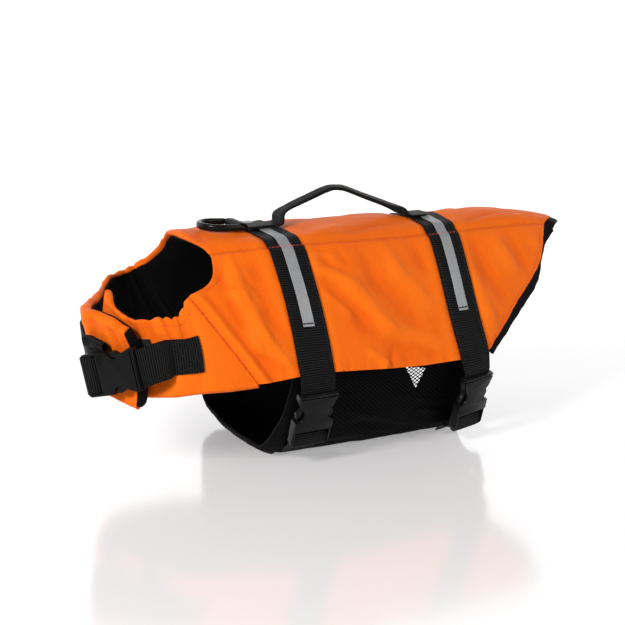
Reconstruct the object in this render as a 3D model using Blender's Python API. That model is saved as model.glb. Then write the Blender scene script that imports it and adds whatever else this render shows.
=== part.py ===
"""Dog life jacket, size M, standing by itself on its belly panel.

Frame: x runs along the dog (head at -x, tail at +x), the wearer's left is -y, z is up and the
floor is z = 0.  Every cloth piece is a wall worked out from one torso surface or one flap surface;
what is sewn on top of a panel is made from the same surface, moved out.  Lengths are millimetres
until a mesh is made.
"""
import math

import bpy
import bmesh
import numpy as np
from mathutils import Matrix, Vector

# ---- driving sizes (millimetres) ----
PAD = 9.0               # foam panel with its two faces
PAD_REAR = 5.5          # the same at the rear edge, where the foam stops
PAD_NECK, PAD_CROWN = 4.2, 7.0      # at the neck edge: on the side panels, and on the spine
FLAP_PAD = 8.0
FLAP_EDGE = 4.4         # thinned top edge of a neck flap
FLAP_END_EDGE = 10.5    # the same at the right flap's free end, where it is folded over
LINING = 1.0
SEAM_GAP = 0.3
RIDGE_GAP = 0.5         # between the spine panel and a side panel, inside the pulled-in seam
LINING_GAP = 0.7
WEB_WIDTH = 36.0
SPINE_WEB_WIDTH = 32.0
WEB_THICK = 1.6
LAY_GAP = 0.45          # between a panel and what is sewn on it
BINDING_GAP = 0.45
TAPE_WIDTH = 11.5
TAPE_THICK = 0.5
NET_THICK = 2.0
EDGE_ROUND = 3.4        # how far a padded edge rounds out past its faces
RIDGE_DIP = 1.8         # how deep the stitched ridge seams pull in
FOLD_HEIGHT = 1.6       # the fold that stands beside the slanted chest seam
SPINE_PRESS = 4.0       # how deep the straps and the handle press into the spine panel
BUCKLE_LENGTH = 62.4
BUCKLE_WIDTH = 42.0
BUCKLE_THICK = 9.6
RING_BAND, RING_HEIGHT, BAR_HEIGHT = 5.0, 7.0, 3.6      # D-ring: bow width and height, bar height

LEFT, RIGHT = -1, 1

# ---- the torso: sections across the dog, one row for each station along it ----
# columns: x, spine z, ridge y z, shoulder y z, flank y z, hem y z
STATIONS = np.array((
    (-165, 228.0, 48.0, 212.0, 75.0, 186.0, 97.0, 137.0, 112.0, 96.0),
    (-130, 227.3, 50.0, 214.0, 76.0, 187.0, 98.0, 139.0, 113.0, 95.0),
    (-100, 226.8, 54.0, 216.0, 80.0, 185.0, 101.0, 139.0, 114.0, 95.0),
    (-45, 226.2, 58.0, 217.0, 84.0, 183.0, 105.0, 137.0, 117.0, 99.5),
    (0, 226.2, 56.0, 216.5, 82.5, 182.0, 104.0, 136.0, 116.0, 97.0),
    (45, 226.2, 51.5, 214.5, 78.5, 180.0, 100.0, 133.0, 112.0, 93.0),
    (90, 225.6, 47.5, 213.0, 74.0, 177.0, 95.0, 130.0, 107.0, 90.5),
    (135, 225.0, 43.5, 212.5, 69.0, 174.0, 89.5, 127.5, 103.0, 90.5),
    (175, 224.5, 40.0, 212.5, 63.5, 173.5, 82.0, 130.0, 91.0, 95.0),
    (210, 223.0, 36.0, 212.0, 58.0, 173.0, 72.0, 133.0, 80.0, 100.0),
    (245, 219.5, 32.0, 210.5, 51.0, 172.0, 62.0, 135.0, 68.0, 105.0),
    (270, 215.0, 28.0, 208.0, 45.0, 171.0, 54.0, 136.0, 58.0, 108.0),
    (295, 208.0, 24.0, 204.0, 38.0, 170.0, 46.0, 136.0, 50.0, 108.0)))
# q runs across: 0 spine, 1 ridge seam, 2 hem; negative on the left
SECTION_Q = (-0.6, 0.0, 0.6, 1.0, 1.35, 1.7, 2.0)

# front edge of a side panel, down to the slanted chest seam that starts at CORNER_S
# columns: s (0 ridge seam, 1 hem), left x, right x
CORNER_S = 0.40
NECK_EDGE = np.array((
    (0.0, -127.0, -140.0), (0.08, -127.5, -139.5), (0.16, -128.5, -139.5), (0.24, -131.0, -142.5),
    (0.31, -137.0, -147.5), (0.36, -147.0, -152.5), (CORNER_S, -162.0, -162.0)))
SEAM_HEM_X = -104.0
# rear edge of a side panel: s, x
REAR_EDGE = np.array((
    (0.0, 267.0), (0.35, 248.0), (0.52, 229.0), (0.68, 205.5), (0.80, 189.0), (0.92, 170.0), (1.0, 156.0)))
SPINE_FRONT_X, SPINE_REAR_X = -142.0, 291.0

# ---- the neck flaps: sections from the top edge to the hem, one row for each place round the neck ----
# columns: top x y z, middle x y, hem x y z; y is positive towards the flap's own side
LEFT_FLAP = np.array((
    (-162, 80.0, 178.0, -133.0, 98.0, -104.0, 112.0, 93.0),
    (-168, 80.5, 165.0, -149.0, 97.5, -130.0, 112.0, 94.5),
    (-176, 81.0, 160.0, -164.5, 97.0, -152.0, 110.5, 95.5),
    (-188, 80.0, 162.0, -179.0, 93.0, -171.0, 105.0, 94.0),
    (-200, 76.0, 160.0, -190.6, 84.7, -183.6, 97.7, 91.8),
    (-213, 67.0, 159.0, -201.0, 72.0, -194.9, 84.9, 89.5),
    (-220, 54.0, 162.0, -209.2, 59.4, -205.2, 71.4, 87.6),
    (-223, 40.0, 166.0, -217.0, 46.0, -213.0, 58.0, 87.0),
    (-224, 25.0, 172.0, -222.5, 30.0, -218.0, 40.0, 86.0),
    (-221, 10.0, 178.5, -226.5, 14.0, -223.0, 18.0, 85.0)))
RIGHT_FLAP = np.array((
    (-162, 80.0, 178.0, -133.0, 98.0, -104.0, 112.0, 93.0),
    (-171, 79.0, 175.5, -152.0, 97.5, -132.0, 112.0, 95.0),
    (-181, 74.0, 175.0, -170.0, 94.0, -158.0, 109.0, 95.5),
    (-192, 66.0, 175.0, -185.0, 85.0, -178.0, 101.0, 94.0),
    (-203, 52.0, 171.0, -199.0, 69.0, -195.0, 85.0, 92.0),
    (-214, 35.0, 167.0, -212.0, 50.0, -209.0, 64.0, 91.0),
    (-229, 17.0, 164.5, -226.0, 29.0, -221.0, 42.0, 90.0),
    (-240, 0.0, 164.0, -235.0, 9.0, -230.5, 19.0, 90.0),
    (-247, -16.0, 163.5, -240.5, -9.0, -236.0, -3.0, 90.0),
    (-252, -32.0, 164.0, -243.5, -27.0, -239.0, -23.0, 89.5),
    (-247.5, -45.5, 163.5, -237.5, -41.5, -236.5, -38.5, 87.5),
    (-240.7, -57.5, 161.2, -228.3, -54.5, -230.2, -51.5, 84.7),
    (-232.7, -69.4, 158.7, -221.3, -66.4, -223.2, -64.9, 81.7),
    (-223.7, -79.4, 155.7, -213.3, -75.4, -214.7, -77.4, 78.2)))
GATHERS = 5             # shallow waves in the left flap's top edge
GATHER_DEPTH = 1.3

# ---- the belly panel: knots round its section, below the two tucked-in top edges ----
# columns: w, y as a share of the tucked hem's y, z as a share of the tucked hem's z
BELLY_KNOTS = np.array((
    (0.17, -0.96, 0.77), (0.24, -0.89, 0.54), (0.31, -0.78, 0.33), (0.38, -0.625, 0.115), (0.44, -0.42, 0.0),
    (0.56, 0.42, 0.0), (0.62, 0.66, 0.055), (0.69, 0.85, 0.14), (0.76, 0.96, 0.30), (0.84, 1.0, 0.57)))
BELLY_TUCK_Q = 1.88     # how far up behind the hem the belly panel's side edges reach
BELLY_TUCK_GAP = PAD + LINING_GAP + LINING + 2.2
# front and rear edges: w, front x, rear x, how far the front edge turns up
BELLY_EDGES = np.array((
    (0.0, -59.0, 157.0, 5.0), (0.12, -61.5, 157.0, 5.0), (0.24, -66.5, 156.5, 5.5), (0.38, -72.0, 156.0, 9.0),
    (0.5, -77.0, 156.0, 6.5), (0.60, -79.0, 156.0, 9.5), (0.76, -81.0, 156.5, 6.0), (1.0, -80.0, 157.0, 5.0)))
LIP_LENGTH = 24.0
BINDING_WIDTH, BINDING_THICK = 11.0, 1.3

# ---- back straps: x at the spine, how far they have run back by each drop below it, where the tape ends ----
FRONT_STRAP = dict(x=-52.0, tape_s=0.645, run=((-5, 0), (10, 0), (60, 3.2), (100, 6.0), (140, 8.6)))
REAR_STRAP = dict(x=131.0, tape_s=0.62,
                  run=((-5, 0), (10, 0), (65, 0.9), (100, 4.3), (125, 8.4), (145, 11.0)))
# buckles: centre of the male end, centre of the female end, the way its face looks
FRONT_BUCKLE = ((-43.5, -116.0, 81.5), (-45.0, -93.0, 21.5), (0.06, -1.0, 0.0))
REAR_BUCKLE = ((139.5, -106.5, 75.0), (135.5, -90.0, 14.5), (0.31, -0.95, 0.0))
NECK_BUCKLE = ((-214.8, -89.7, 119.7), (-255.8, -39.2, 103.7), (-0.776, -0.63, 0.0))
# webbing sewn on the neck flaps; columns: upper edge u v, lower edge u v
NECK_WEB_LEFT = np.array((
    (0.328, 0.28, 0.38, 0.735), (0.212, 0.27, 0.288, 0.735), (0.113, 0.30, 0.205, 0.73)))
NECK_WEB_FREE = ((-206.5, -97.5, 124.0), (-198.5, -98.6, 126.0), (-190.0, -96.8, 127.0))   # its free run
NECK_WEB_RIGHT = np.array((
    (0.87, 0.56, 0.845, 0.985), (0.81, 0.45, 0.78, 0.93), (0.76, 0.30, 0.73, 0.80), (0.715, 0.22, 0.69, 0.73),
    (0.66, 0.17, 0.65, 0.68), (0.60, 0.17, 0.60, 0.66), (0.53, 0.20, 0.54, 0.69), (0.45, 0.23, 0.46, 0.72),
    (0.35, 0.24, 0.37, 0.72), (0.25, 0.25, 0.27, 0.72), (0.16, 0.25, 0.18, 0.72)))
# the neck buckle's loop behind it
# columns: place along the buckle, depth behind its middle plane at the upper edge, middle, lower edge
NECK_LOOP_END = ((56.5, 5.9, 5.9, 5.9), (53.0, 8.2, 8.2, 8.2), (48.0, 9.3, 10.3, 10.0),
                 (42.0, 8.3, 9.7, 9.5), (36.0, 7.7, 8.9, 9.5))


def unit(vectors):
    return vectors / np.linalg.norm(vectors, axis=-1, keepdims=True)


def smooth(knots, values, at):
    """Cubic through the knots that never overshoots them.

    values holds a row for each knot; with three axes, its second one runs with `at`.
    """
    knots, values, at = (np.asarray(a, float) for a in (knots, values, at))
    shape = (-1,) + (1,) * (values.ndim - 1)
    step = np.diff(knots)
    rise = np.diff(values, axis=0) / step.reshape(shape)
    slope = np.empty_like(values)
    slope[0], slope[-1] = rise[0], rise[-1]
    near, far = rise[:-1], rise[1:]
    w_near, w_far = ((2 * step[1:] + step[:-1]).reshape(shape), (step[1:] + 2 * step[:-1]).reshape(shape))
    turning = near * far <= 0
    with np.errstate(divide="ignore", invalid="ignore"):
        slope[1:-1] = np.where(turning, 0.0, (w_near + w_far) / (w_near / near + w_far / far))
    i = np.clip(np.searchsorted(knots, at, side="right") - 1, 0, len(step) - 1)
    rows = (lambda a, j: a[j, np.arange(len(at))]) if values.ndim == 3 else (lambda a, j: a[j])
    t = ((at - knots[i]) / step[i])[:, None]
    h = step[i][:, None]
    return (rows(values, i) * (1 + 2 * t) * (1 - t) ** 2 + rows(slope, i) * h * t * (1 - t) ** 2
            + rows(values, i + 1) * t * t * (3 - 2 * t) + rows(slope, i + 1) * h * t * t * (t - 1))


# ---- torso surface ----
def torso(x, q):
    """Torso face before its seams pull in: the station table read along x, then across by q."""
    x, q = np.broadcast_arrays(np.asarray(x, float), np.asarray(q, float))
    row = smooth(STATIONS[:, 0], STATIONS[:, 1:], x.ravel())
    spine_z, y, z = row[:, 0], row[:, 1::2], row[:, 2::2]
    crown_z = spine_z - 0.30 * (spine_z - z[:, 0])
    ys = np.stack((-0.6 * y[:, 0], 0 * spine_z, 0.6 * y[:, 0], y[:, 0], y[:, 1], y[:, 2], y[:, 3]))
    zs = np.stack((crown_z, spine_z, crown_z, z[:, 0], z[:, 1], z[:, 2], z[:, 3]))
    yz = smooth(SECTION_Q, np.stack((ys, zs), axis=-1), np.abs(q.ravel()))
    points = np.column_stack((x.ravel(), yz[:, 0] * np.where(q.ravel() < 0, -1, 1), yz[:, 1]))
    return points.reshape(x.shape + (3,))


def torso_normal(x, q):
    along = torso(np.add(x, 0.5), q) - torso(np.subtract(x, 0.5), q)
    across = torso(x, np.add(q, 0.004)) - torso(x, np.subtract(q, 0.004))
    return unit(np.cross(along, across))


def front_x(s, side):
    """Front edge of a side panel: the neck edge, then the straight slanted seam down to the hem."""
    s, side = np.broadcast_arrays(np.asarray(s, float), side)
    neck = smooth(NECK_EDGE[:, 0], NECK_EDGE[:, 1:], np.clip(s, 0, CORNER_S).ravel())
    neck = np.where(side.ravel() < 0, neck[:, 0], neck[:, 1]).reshape(s.shape)
    seam = NECK_EDGE[-1, 1] + (SEAM_HEM_X - NECK_EDGE[-1, 1]) * (s - CORNER_S) / (1 - CORNER_S)
    return np.where(s < CORNER_S, neck, seam)


def rear_x(s):
    return smooth(REAR_EDGE[:, 0], REAR_EDGE[:, 1:], np.asarray(s, float).ravel())[:, 0].reshape(np.shape(s))


def spine_front_x(q):
    ridge = np.where(np.asarray(q) < 0, NECK_EDGE[0, 1], NECK_EDGE[0, 2])
    return SPINE_FRONT_X + (ridge - SPINE_FRONT_X) * np.abs(q) ** 1.6


def spine_rear_x(q):
    return SPINE_REAR_X + (REAR_EDGE[0, 1] - SPINE_REAR_X) * np.abs(q) ** 1.5


def relief(x, q):
    """How far the sewn panel stands off the torso face.

    It pulls in at the ridge seams and under the straps on the spine, and stands out at the chest fold.
    """
    reach = np.abs(q)
    from_ridge = np.where(reach < 1, (1 - reach) * 52.0, (reach - 1) * 135.0)
    seam_x = front_x(np.clip(reach - 1, CORNER_S, 1), np.sign(q))
    from_chest = np.where(reach > 1, (x - seam_x) * 0.82, 99.0)
    above_corner = (CORNER_S + 1 - reach) * 135.0
    from_chest = np.where(above_corner > 0, np.hypot(from_chest, above_corner), from_chest)
    press = np.exp(-((x - FRONT_STRAP["x"]) / 32.0) ** 4) + np.exp(-((x - REAR_STRAP["x"]) / 30.0) ** 4)
    return (FOLD_HEIGHT * np.exp(-((from_chest - 11) / 6.0) ** 2)
            - RIDGE_DIP * np.exp(-(from_ridge / 6.0) ** 2)
            - SPINE_PRESS * press * np.exp(-(reach / 0.72) ** 4))


def panel_face(x, q, out=0.0):
    """Sewn outer face of the body panels, moved out by `out`."""
    x, q = np.broadcast_arrays(np.asarray(x, float), np.asarray(q, float))
    return torso(x, q) + torso_normal(x, q) * (relief(x, q) + out)[..., None]


# ---- flap surfaces ----
def flap(side, u, v, out=0.0):
    """Neck flap face: u from the slanted seam (0) to the flap's end (1), v from top edge (0) to hem (1)."""
    u, v = np.broadcast_arrays(np.asarray(u, float), np.asarray(v, float))
    points = flap_base(side, u, v)
    normal = flap_normal(side, u, v)
    gather = np.zeros(u.shape)
    if side == LEFT:
        span = np.clip((u - 0.12) / 0.5, 0, 1)
        gather = GATHER_DEPTH * np.sin(span * GATHERS * 2 * math.pi) * np.exp(-v / 0.16)
    return points + normal * (gather + out)[..., None]


def flap_base(side, u, v):
    table = LEFT_FLAP if side == LEFT else RIGHT_FLAP
    row = smooth(np.linspace(0, 1, len(table)), table, u.ravel())
    v1 = v.ravel()[:, None]
    top, hem = row[:, :3], row[:, 5:]
    middle = np.column_stack((row[:, 3:5], 0.5 * (top[:, 2] + hem[:, 2])))
    points = top * (1 - v1) * (1 - 2 * v1) + middle * 4 * v1 * (1 - v1) + hem * v1 * (2 * v1 - 1)
    points[:, 1] *= side
    seam, seam_row = seam_line(side, v1[:, 0]), flap_row(table[0], side, v1)
    fade = np.clip(1 - u.ravel() / 0.22, 0, 1)[:, None] ** 2
    return (points + (seam - seam_row) * fade).reshape(u.shape + (3,))


def flap_row(row, side, v1):
    top, hem = row[:3], row[5:]
    middle = np.array((row[3], row[4], 0.5 * (top[2] + hem[2])))
    points = top * (1 - v1) * (1 - 2 * v1) + middle * 4 * v1 * (1 - v1) + hem * v1 * (2 * v1 - 1)
    return points * np.array((1, side, 1))


def seam_line(side, v):
    s = CORNER_S + (1 - CORNER_S) * v
    return torso(front_x(s, side), side * (1 + s))


def flap_normal(side, u, v):
    """Flap normal; at the slanted seam it is the body panel's own, so that both walls end face to face."""
    lo, hi = np.clip(u - 0.01, 0, 1), np.clip(u + 0.01, 0, 1)
    along = flap_base(side, hi, v) - flap_base(side, lo, v)
    across = flap_base(side, u, np.clip(v + 0.01, 0, 1)) - flap_base(side, u, np.clip(v - 0.01, 0, 1))
    own = unit(np.cross(along, across)) * -side
    s = CORNER_S + (1 - CORNER_S) * v
    seam = torso_normal(front_x(s, side), side * (1 + s))
    fade = np.clip(1 - u / 0.12, 0, 1)[..., None]
    return unit(own * (1 - fade) + seam * fade)


def flap_depth(side, u, v):
    """Flap thickness: thin along the top edge, but full or folded towards the free end."""
    start, end_edge = (0.80, FLAP_PAD) if side == LEFT else (0.34, FLAP_END_EDGE)
    edge = FLAP_EDGE + (end_edge - FLAP_EDGE) * np.clip((u - start) / 0.12, 0, 1)
    return FLAP_PAD - (FLAP_PAD - edge) * np.exp(-v / 0.14)


# ---- belly surface ----
def belly(x, w, out=0.0):
    """Belly net's outer face: w runs from the left tucked edge (0) under the dog to the right one (1)."""
    x, w = np.broadcast_arrays(np.asarray(x, float), np.asarray(w, float))
    points = belly_base(x.ravel(), w.ravel())
    along = belly_base(x.ravel() + 0.5, w.ravel()) - belly_base(x.ravel() - 0.5, w.ravel())
    across = (belly_base(x.ravel(), np.clip(w.ravel() + 0.004, 0, 1))
              - belly_base(x.ravel(), np.clip(w.ravel() - 0.004, 0, 1)))
    normal = unit(np.cross(across, along))
    return (points + normal * np.asarray(out, float).reshape(-1, 1)).reshape(x.shape + (3,))


def belly_base(x, w):
    tucked = [torso(x, q) - torso_normal(x, q) * BELLY_TUCK_GAP for q in (-BELLY_TUCK_Q, -2, 2, BELLY_TUCK_Q)]
    knots = np.concatenate(((0, 0.09), BELLY_KNOTS[:, 0], (0.92, 1)))
    ys, zs = [tucked[0][:, 1], tucked[1][:, 1]], [tucked[0][:, 2], tucked[1][:, 2]]
    for _, y_share, z_share in BELLY_KNOTS:
        ys.append(y_share * tucked[2][:, 1])
        zs.append(z_share * tucked[2][:, 2])
    ys += [tucked[2][:, 1], tucked[3][:, 1]]
    zs += [tucked[2][:, 2], tucked[3][:, 2]]
    yz = smooth(knots, np.stack((np.stack(ys), np.stack(zs)), axis=-1), w)
    edge = smooth(BELLY_EDGES[:, 0], BELLY_EDGES[:, 1:], w)
    rise = edge[:, 2] * np.clip(1 - (x - edge[:, 0]) / LIP_LENGTH, 0, 1.2) ** 2
    rise = rise + edge[:, 2] * np.clip(1 - (edge[:, 1] - x) / LIP_LENGTH, 0, 1.2) ** 2
    centre = np.array((0.0, 110.0))
    yz = yz + unit(centre - yz) * rise[:, None]
    return np.column_stack((x, yz))


# ---- making meshes ----
def material(name, colour, roughness, metallic=0.0):
    found = bpy.data.materials.get(name)
    if found:
        return found
    made = bpy.data.materials.new(name)
    made.use_nodes = True
    shader = made.node_tree.nodes["Principled BSDF"]
    shader.inputs["Base Color"].default_value = (*colour, 1.0)
    shader.inputs["Roughness"].default_value = roughness
    shader.inputs["Metallic"].default_value = metallic
    return made


def orange_cloth(name):
    return material(name + "_orange_polyester", (0.91, 0.25, 0.04), 0.5)


def black_cloth(name):
    return material(name + "_black_cloth", (0.012, 0.012, 0.013), 0.75)


def black_webbing(name):
    return material(name + "_black_webbing", (0.015, 0.015, 0.016), 0.65)


def silver_tape(name):
    return material(name + "_silver_tape", (0.48, 0.49, 0.52), 0.4, 0.3)


def black_plastic(name):
    return material(name + "_black_plastic", (0.018, 0.018, 0.02), 0.35)


def new_object(name, points, faces, finish):
    """One closed mesh from points in millimetres, its quads split the same way each time."""
    mesh = bpy.data.meshes.new(name)
    mesh.from_pydata((np.asarray(points) * 0.001).tolist(), [], faces)
    shape = bmesh.new()
    shape.from_mesh(mesh)
    bmesh.ops.triangulate(shape, faces=shape.faces)
    bmesh.ops.recalc_face_normals(shape, faces=shape.faces)
    shape.to_mesh(mesh)
    shape.free()
    mesh.shade_smooth()
    mesh.set_sharp_from_angle(angle=math.radians(40))
    made = bpy.data.objects.new(name, mesh)
    bpy.context.scene.collection.objects.link(made)
    mesh.materials.append(finish(name))
    return made


def wall(name, outer, inner, finish, rounding=None):
    """Closed wall between two grids; `rounding` gives how far each border point's rim stands out.

    rounding is a dict of the grid's sides (first, last, low, high) to a length or an array of them.
    """
    rows, columns = outer.shape[:2]
    row_ids, column_ids = np.arange(rows), np.arange(columns)
    border = ([(0, j) for j in column_ids] + [(i, columns - 1) for i in row_ids[1:]]
              + [(rows - 1, j) for j in column_ids[::-1][1:]] + [(i, 0) for i in row_ids[::-1][1:-1]])
    border = np.array(border)
    points = [outer.reshape(-1, 3), inner.reshape(-1, 3)]
    rings = [border[:, 0] * columns + border[:, 1]]
    if rounding:
        push = np.zeros((rows, columns, 3))
        middle = 0.5 * (outer + inner)
        every = slice(None)
        places = {"first": ((0, every), (1, every)), "last": ((-1, every), (-2, every)),
                  "low": ((every, 0), (every, 1)), "high": ((every, -1), (every, -2))}
        for side, amount in rounding.items():
            at, nearby = places[side]
            amount = np.broadcast_to(np.asarray(amount, float), middle[at].shape[:1])
            push[at] += unit(middle[at] - middle[nearby]) * amount[:, None]
        push = push[border[:, 0], border[:, 1]]
        edge_out, edge_in = outer[border[:, 0], border[:, 1]], inner[border[:, 0], border[:, 1]]
        base = 2 * rows * columns
        for share in (0.27, 0.73):
            points.append(edge_out * (1 - share) + edge_in * share + push)
            rings.append(base + np.arange(len(border)))
            base += len(border)
    rings.append(rings[0] + rows * columns)
    faces = []
    for i in range(rows - 1):
        for j in range(columns - 1):
            a, d = i * columns + j, (i + 1) * columns + j
            b, c = a + 1, d + 1
            faces.append((a, b, c, d))
            faces.append(tuple(k + rows * columns for k in (d, c, b, a)))
    for near, far in zip(rings, rings[1:]):
        for k in range(len(border)):
            n = (k + 1) % len(border)
            faces.append((int(near[n]), int(near[k]), int(far[k]), int(far[n])))
    return new_object(name, np.concatenate(points), faces, finish)


def sweep(name, sections, finish, closed=False):
    """Closed body through a row of like sections; with `closed` the last section joins the first."""
    count, around = sections.shape[:2]
    faces = []
    for i in range(count if closed else count - 1):
        j = (i + 1) % count
        for k in range(around):
            n = (k + 1) % around
            faces.append((i * around + k, i * around + n, j * around + n, j * around + k))
    if not closed:
        faces.append(tuple(range(around))[::-1])
        faces.append(tuple((count - 1) * around + k for k in range(around)))
    return new_object(name, sections.reshape(-1, 3), faces, finish)


# ---- body panels ----
SIDE_S = (0.0, 0.035, 0.085, 0.16, 0.25, 0.33, CORNER_S, 0.50, 0.61, 0.72, 0.83, 0.92, 1.0)
SPINE_Q = (-1.0, -0.9, -0.75, -0.5, -0.25, 0.0, 0.25, 0.5, 0.75, 0.9, 1.0)
LENGTH_STEPS = np.array((0, 0.022, 0.05, 0.09, 0.14, 0.20, 0.26, 0.32, 0.38, 0.44, 0.50,
                         0.56, 0.62, 0.68, 0.74, 0.80, 0.86, 0.92, 0.96, 1.0))
# the spine panel's rows lie closer where the straps press in
SPINE_STATIONS = np.array((-112, -98, -86, -78, -70, -61, -52, -43, -34, -26, -17, -4, 45, 84, 95, 104,
                           113, 122, 131, 140, 149, 158, 168, 192, 214))


def pad_depth(x, q, front, rear):
    """Pad thickness: full over the foam, thin where the foam stops short of the neck and rear edges."""
    neck = np.interp(np.abs(q), (0, 1, 0.95 + CORNER_S, 1.12 + CORNER_S, 2),
                     (PAD_CROWN, PAD_NECK, PAD_NECK, PAD, PAD))
    return (PAD - (PAD - PAD_REAR) * np.exp(-np.maximum(rear - x, 0) / 16.0)
            - (PAD - neck) * np.exp(-np.maximum(x - front, 0) / 14.0))


def span(front, rear, steps):
    return front[None, :] + (rear - front)[None, :] * np.asarray(steps)[:, None]


def make_spine_panel():
    q = np.array(SPINE_Q)
    q[0] += RIDGE_GAP / 2 / 52
    q[-1] -= RIDGE_GAP / 2 / 52
    front, rear = spine_front_x(q) + EDGE_ROUND, spine_rear_x(q)
    x = np.concatenate((span(front, front + 6, (0, 1)), SPINE_STATIONS[:, None] + 0 * q,
                        span(rear - 36, rear, (0, 0.34, 0.67, 1))))
    q = np.broadcast_to(q, x.shape)
    outer = panel_face(x, q)
    inner = torso(x, q) - torso_normal(x, q) * inner_depth(x, q, front, rear)[..., None]
    return wall("spine_panel", outer, inner, orange_cloth, {"first": EDGE_ROUND})


def inner_depth(x, q, front, rear):
    """Depth of a panel's inner face: the pad, or as deep as the pressed outer face needs."""
    return np.maximum(pad_depth(x, q, front, rear), 3.5 - relief(x, q))


def side_lines(side, s_lines):
    s = np.array(s_lines)
    s[0] += RIDGE_GAP / 2 / 135
    s[-1] -= EDGE_ROUND / 135
    round_front = EDGE_ROUND * np.clip((CORNER_S - s) / 0.05, 0, 1)
    front = front_x(s, side) + np.maximum(round_front, SEAM_GAP / 2)
    return s, round_front, front


def make_side_panel(side, name):
    s, round_front, front = side_lines(side, SIDE_S)
    rear = rear_x(s)
    x = span(front, rear, LENGTH_STEPS)
    q = side * (1 + np.broadcast_to(s, x.shape))
    outer = panel_face(x, q)
    inner = torso(x, q) - torso_normal(x, q) * inner_depth(x, q, front, rear)[..., None]
    return wall(name, outer, inner, orange_cloth, {"first": round_front, "high": EDGE_ROUND})


def make_body_lining():
    """Black inside of the three body panels, one sheet from hem to hem."""
    lines = (0.0,) + SIDE_S[2:]
    s, rounded, left_front = side_lines(LEFT, lines)
    right_front = side_lines(RIGHT, lines)[2]
    mid = np.array((-0.75, -0.5, 0.0, 0.5, 0.75))
    q = np.concatenate((-(1 + s)[::-1], mid, 1 + s))
    margin = np.minimum(rounded, 1.0)
    margin = np.concatenate((margin[::-1], 1.0 + 0 * mid, margin))
    fronts = np.concatenate((left_front[::-1], spine_front_x(mid) + EDGE_ROUND, right_front))
    rears = np.concatenate((rear_x(s)[::-1], spine_rear_x(mid), rear_x(s)))
    x = span(fronts, rears, LENGTH_STEPS)
    x[0] += margin
    x[-1] -= 1.2
    q = np.broadcast_to(q, x.shape)
    depth = inner_depth(x, q, fronts, rears) + LINING_GAP
    normal = torso_normal(x, q)
    outer = torso(x, q) - normal * depth[..., None]
    return wall("body_lining", outer, outer - normal * LINING, black_cloth)


def make_rear_rim():
    """Black facing that stands out past the orange rear edge, widest at the tail tip and low down."""
    s = np.array(SIDE_S[:-1] + (0.96,))
    width_at = ((0.0, 0.2, 0.35, 0.45, 0.55, 0.8, 1.0), (5.0, 2.0, 1.6, 3.4, 5.0, 6.0, 7.5))
    mid_q = np.array(SPINE_Q[1:-1])
    q = np.concatenate((-(1 + s)[::-1], mid_q, 1 + s))
    x = np.concatenate((rear_x(s)[::-1], spine_rear_x(mid_q), rear_x(s)))
    side_width = np.interp(s, *width_at)
    width = np.concatenate((side_width[::-1], 9.5 - 4.0 * np.abs(mid_q), side_width))
    normal = torso_normal(x, q)
    top = panel_face(x, q, -0.9)
    run = unit(np.gradient(torso(x, q), axis=0))
    out = unit(np.cross(run, normal))
    out *= np.sign(out[:, :1])
    depth = PAD_REAR + LINING_GAP + LINING
    base = torso(x, q) - normal * depth
    start, end = top + out * LAY_GAP, base + out * (LAY_GAP + 0.2)
    shares = ((0.0, 0.0), (0.12, 0.82), (0.5, 1.0), (0.88, 0.82), (1.0, 0.0))
    rings = [start * (1 - k) + end * k + out * (width * reach)[:, None] for k, reach in shares]
    return sweep("rear_rim", np.stack(rings, axis=1), black_cloth)


# ---- neck flaps ----
FLAP_V = (0.0, 0.08, 0.2, 0.4, 0.6, 0.8, 1.0)


def flap_lines(side, steps):
    v = np.array(FLAP_V)
    v[0], v[-1] = EDGE_ROUND / 85, 1 - EDGE_ROUND / 85
    u = np.linspace(0, 1, steps) ** 1.05
    length = 190.0 if side == LEFT else 260.0
    u[0] = SEAM_GAP / 2 / length * 1.5
    return np.meshgrid(u, v, indexing="ij"), length


def make_neck_flap(side, name, steps):
    (u, v), length = flap_lines(side, steps)
    if side == LEFT:
        u = u * (1 - EDGE_ROUND / length)
    outer = flap(side, u, v)
    inner = flap_base(side, u, v) - flap_normal(side, u, v) * flap_depth(side, u, v)[..., None]
    rim = EDGE_ROUND * np.clip(u[:, 0] / 0.04, 0, 1)
    rounding = {"low": rim, "high": EDGE_ROUND}
    if side == LEFT:
        rounding["last"] = EDGE_ROUND
    return wall(name, outer, inner, orange_cloth, rounding)


def make_neck_lining(side, name, steps):
    (u, v), length = flap_lines(side, steps)
    if side == LEFT:
        u = u * (1 - EDGE_ROUND / length)
    normal = flap_normal(side, u, v)
    outer = flap_base(side, u, v) - normal * (flap_depth(side, u, v) + LINING_GAP)[..., None]
    return wall(name, outer, outer - normal * LINING, black_cloth)


def make_neck_flap_rim():
    """Black facing on the right flap's end, which shows as the flap springs out on the near side."""
    v = np.linspace(0.02, 0.94, 9)
    u = np.ones_like(v)
    normal = flap_normal(RIGHT, u, v)
    edge = flap(RIGHT, u, v)
    out = unit(edge - flap(RIGHT, u - 0.02, v))
    depth = flap_depth(RIGHT, u, v)[:, None] + LINING_GAP + LINING
    start, end = edge + out * SEAM_GAP, edge - normal * depth + out * SEAM_GAP
    reach_max = 4.4
    shares = ((0.0, 0.0), (0.15, 0.75), (0.5, 1.0), (0.85, 0.75), (1.0, 0.0))
    rings = [start * (1 - k) + end * k + out * reach_max * reach for k, reach in shares]
    return sweep("neck_flap_rim", np.stack(rings, axis=1), black_cloth)


def make_closure_patch():
    """Loop half of the touch fastener, on the left flap in front of the right flap's end."""
    u, v = np.meshgrid(np.linspace(0.48, 0.63, 5), np.linspace(0.245, 0.52, 4), indexing="ij")
    outer = flap(LEFT, u, v, 1.3)
    return wall("closure_patch_neck", outer, flap(LEFT, u, v, 0.35), black_cloth)


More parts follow.
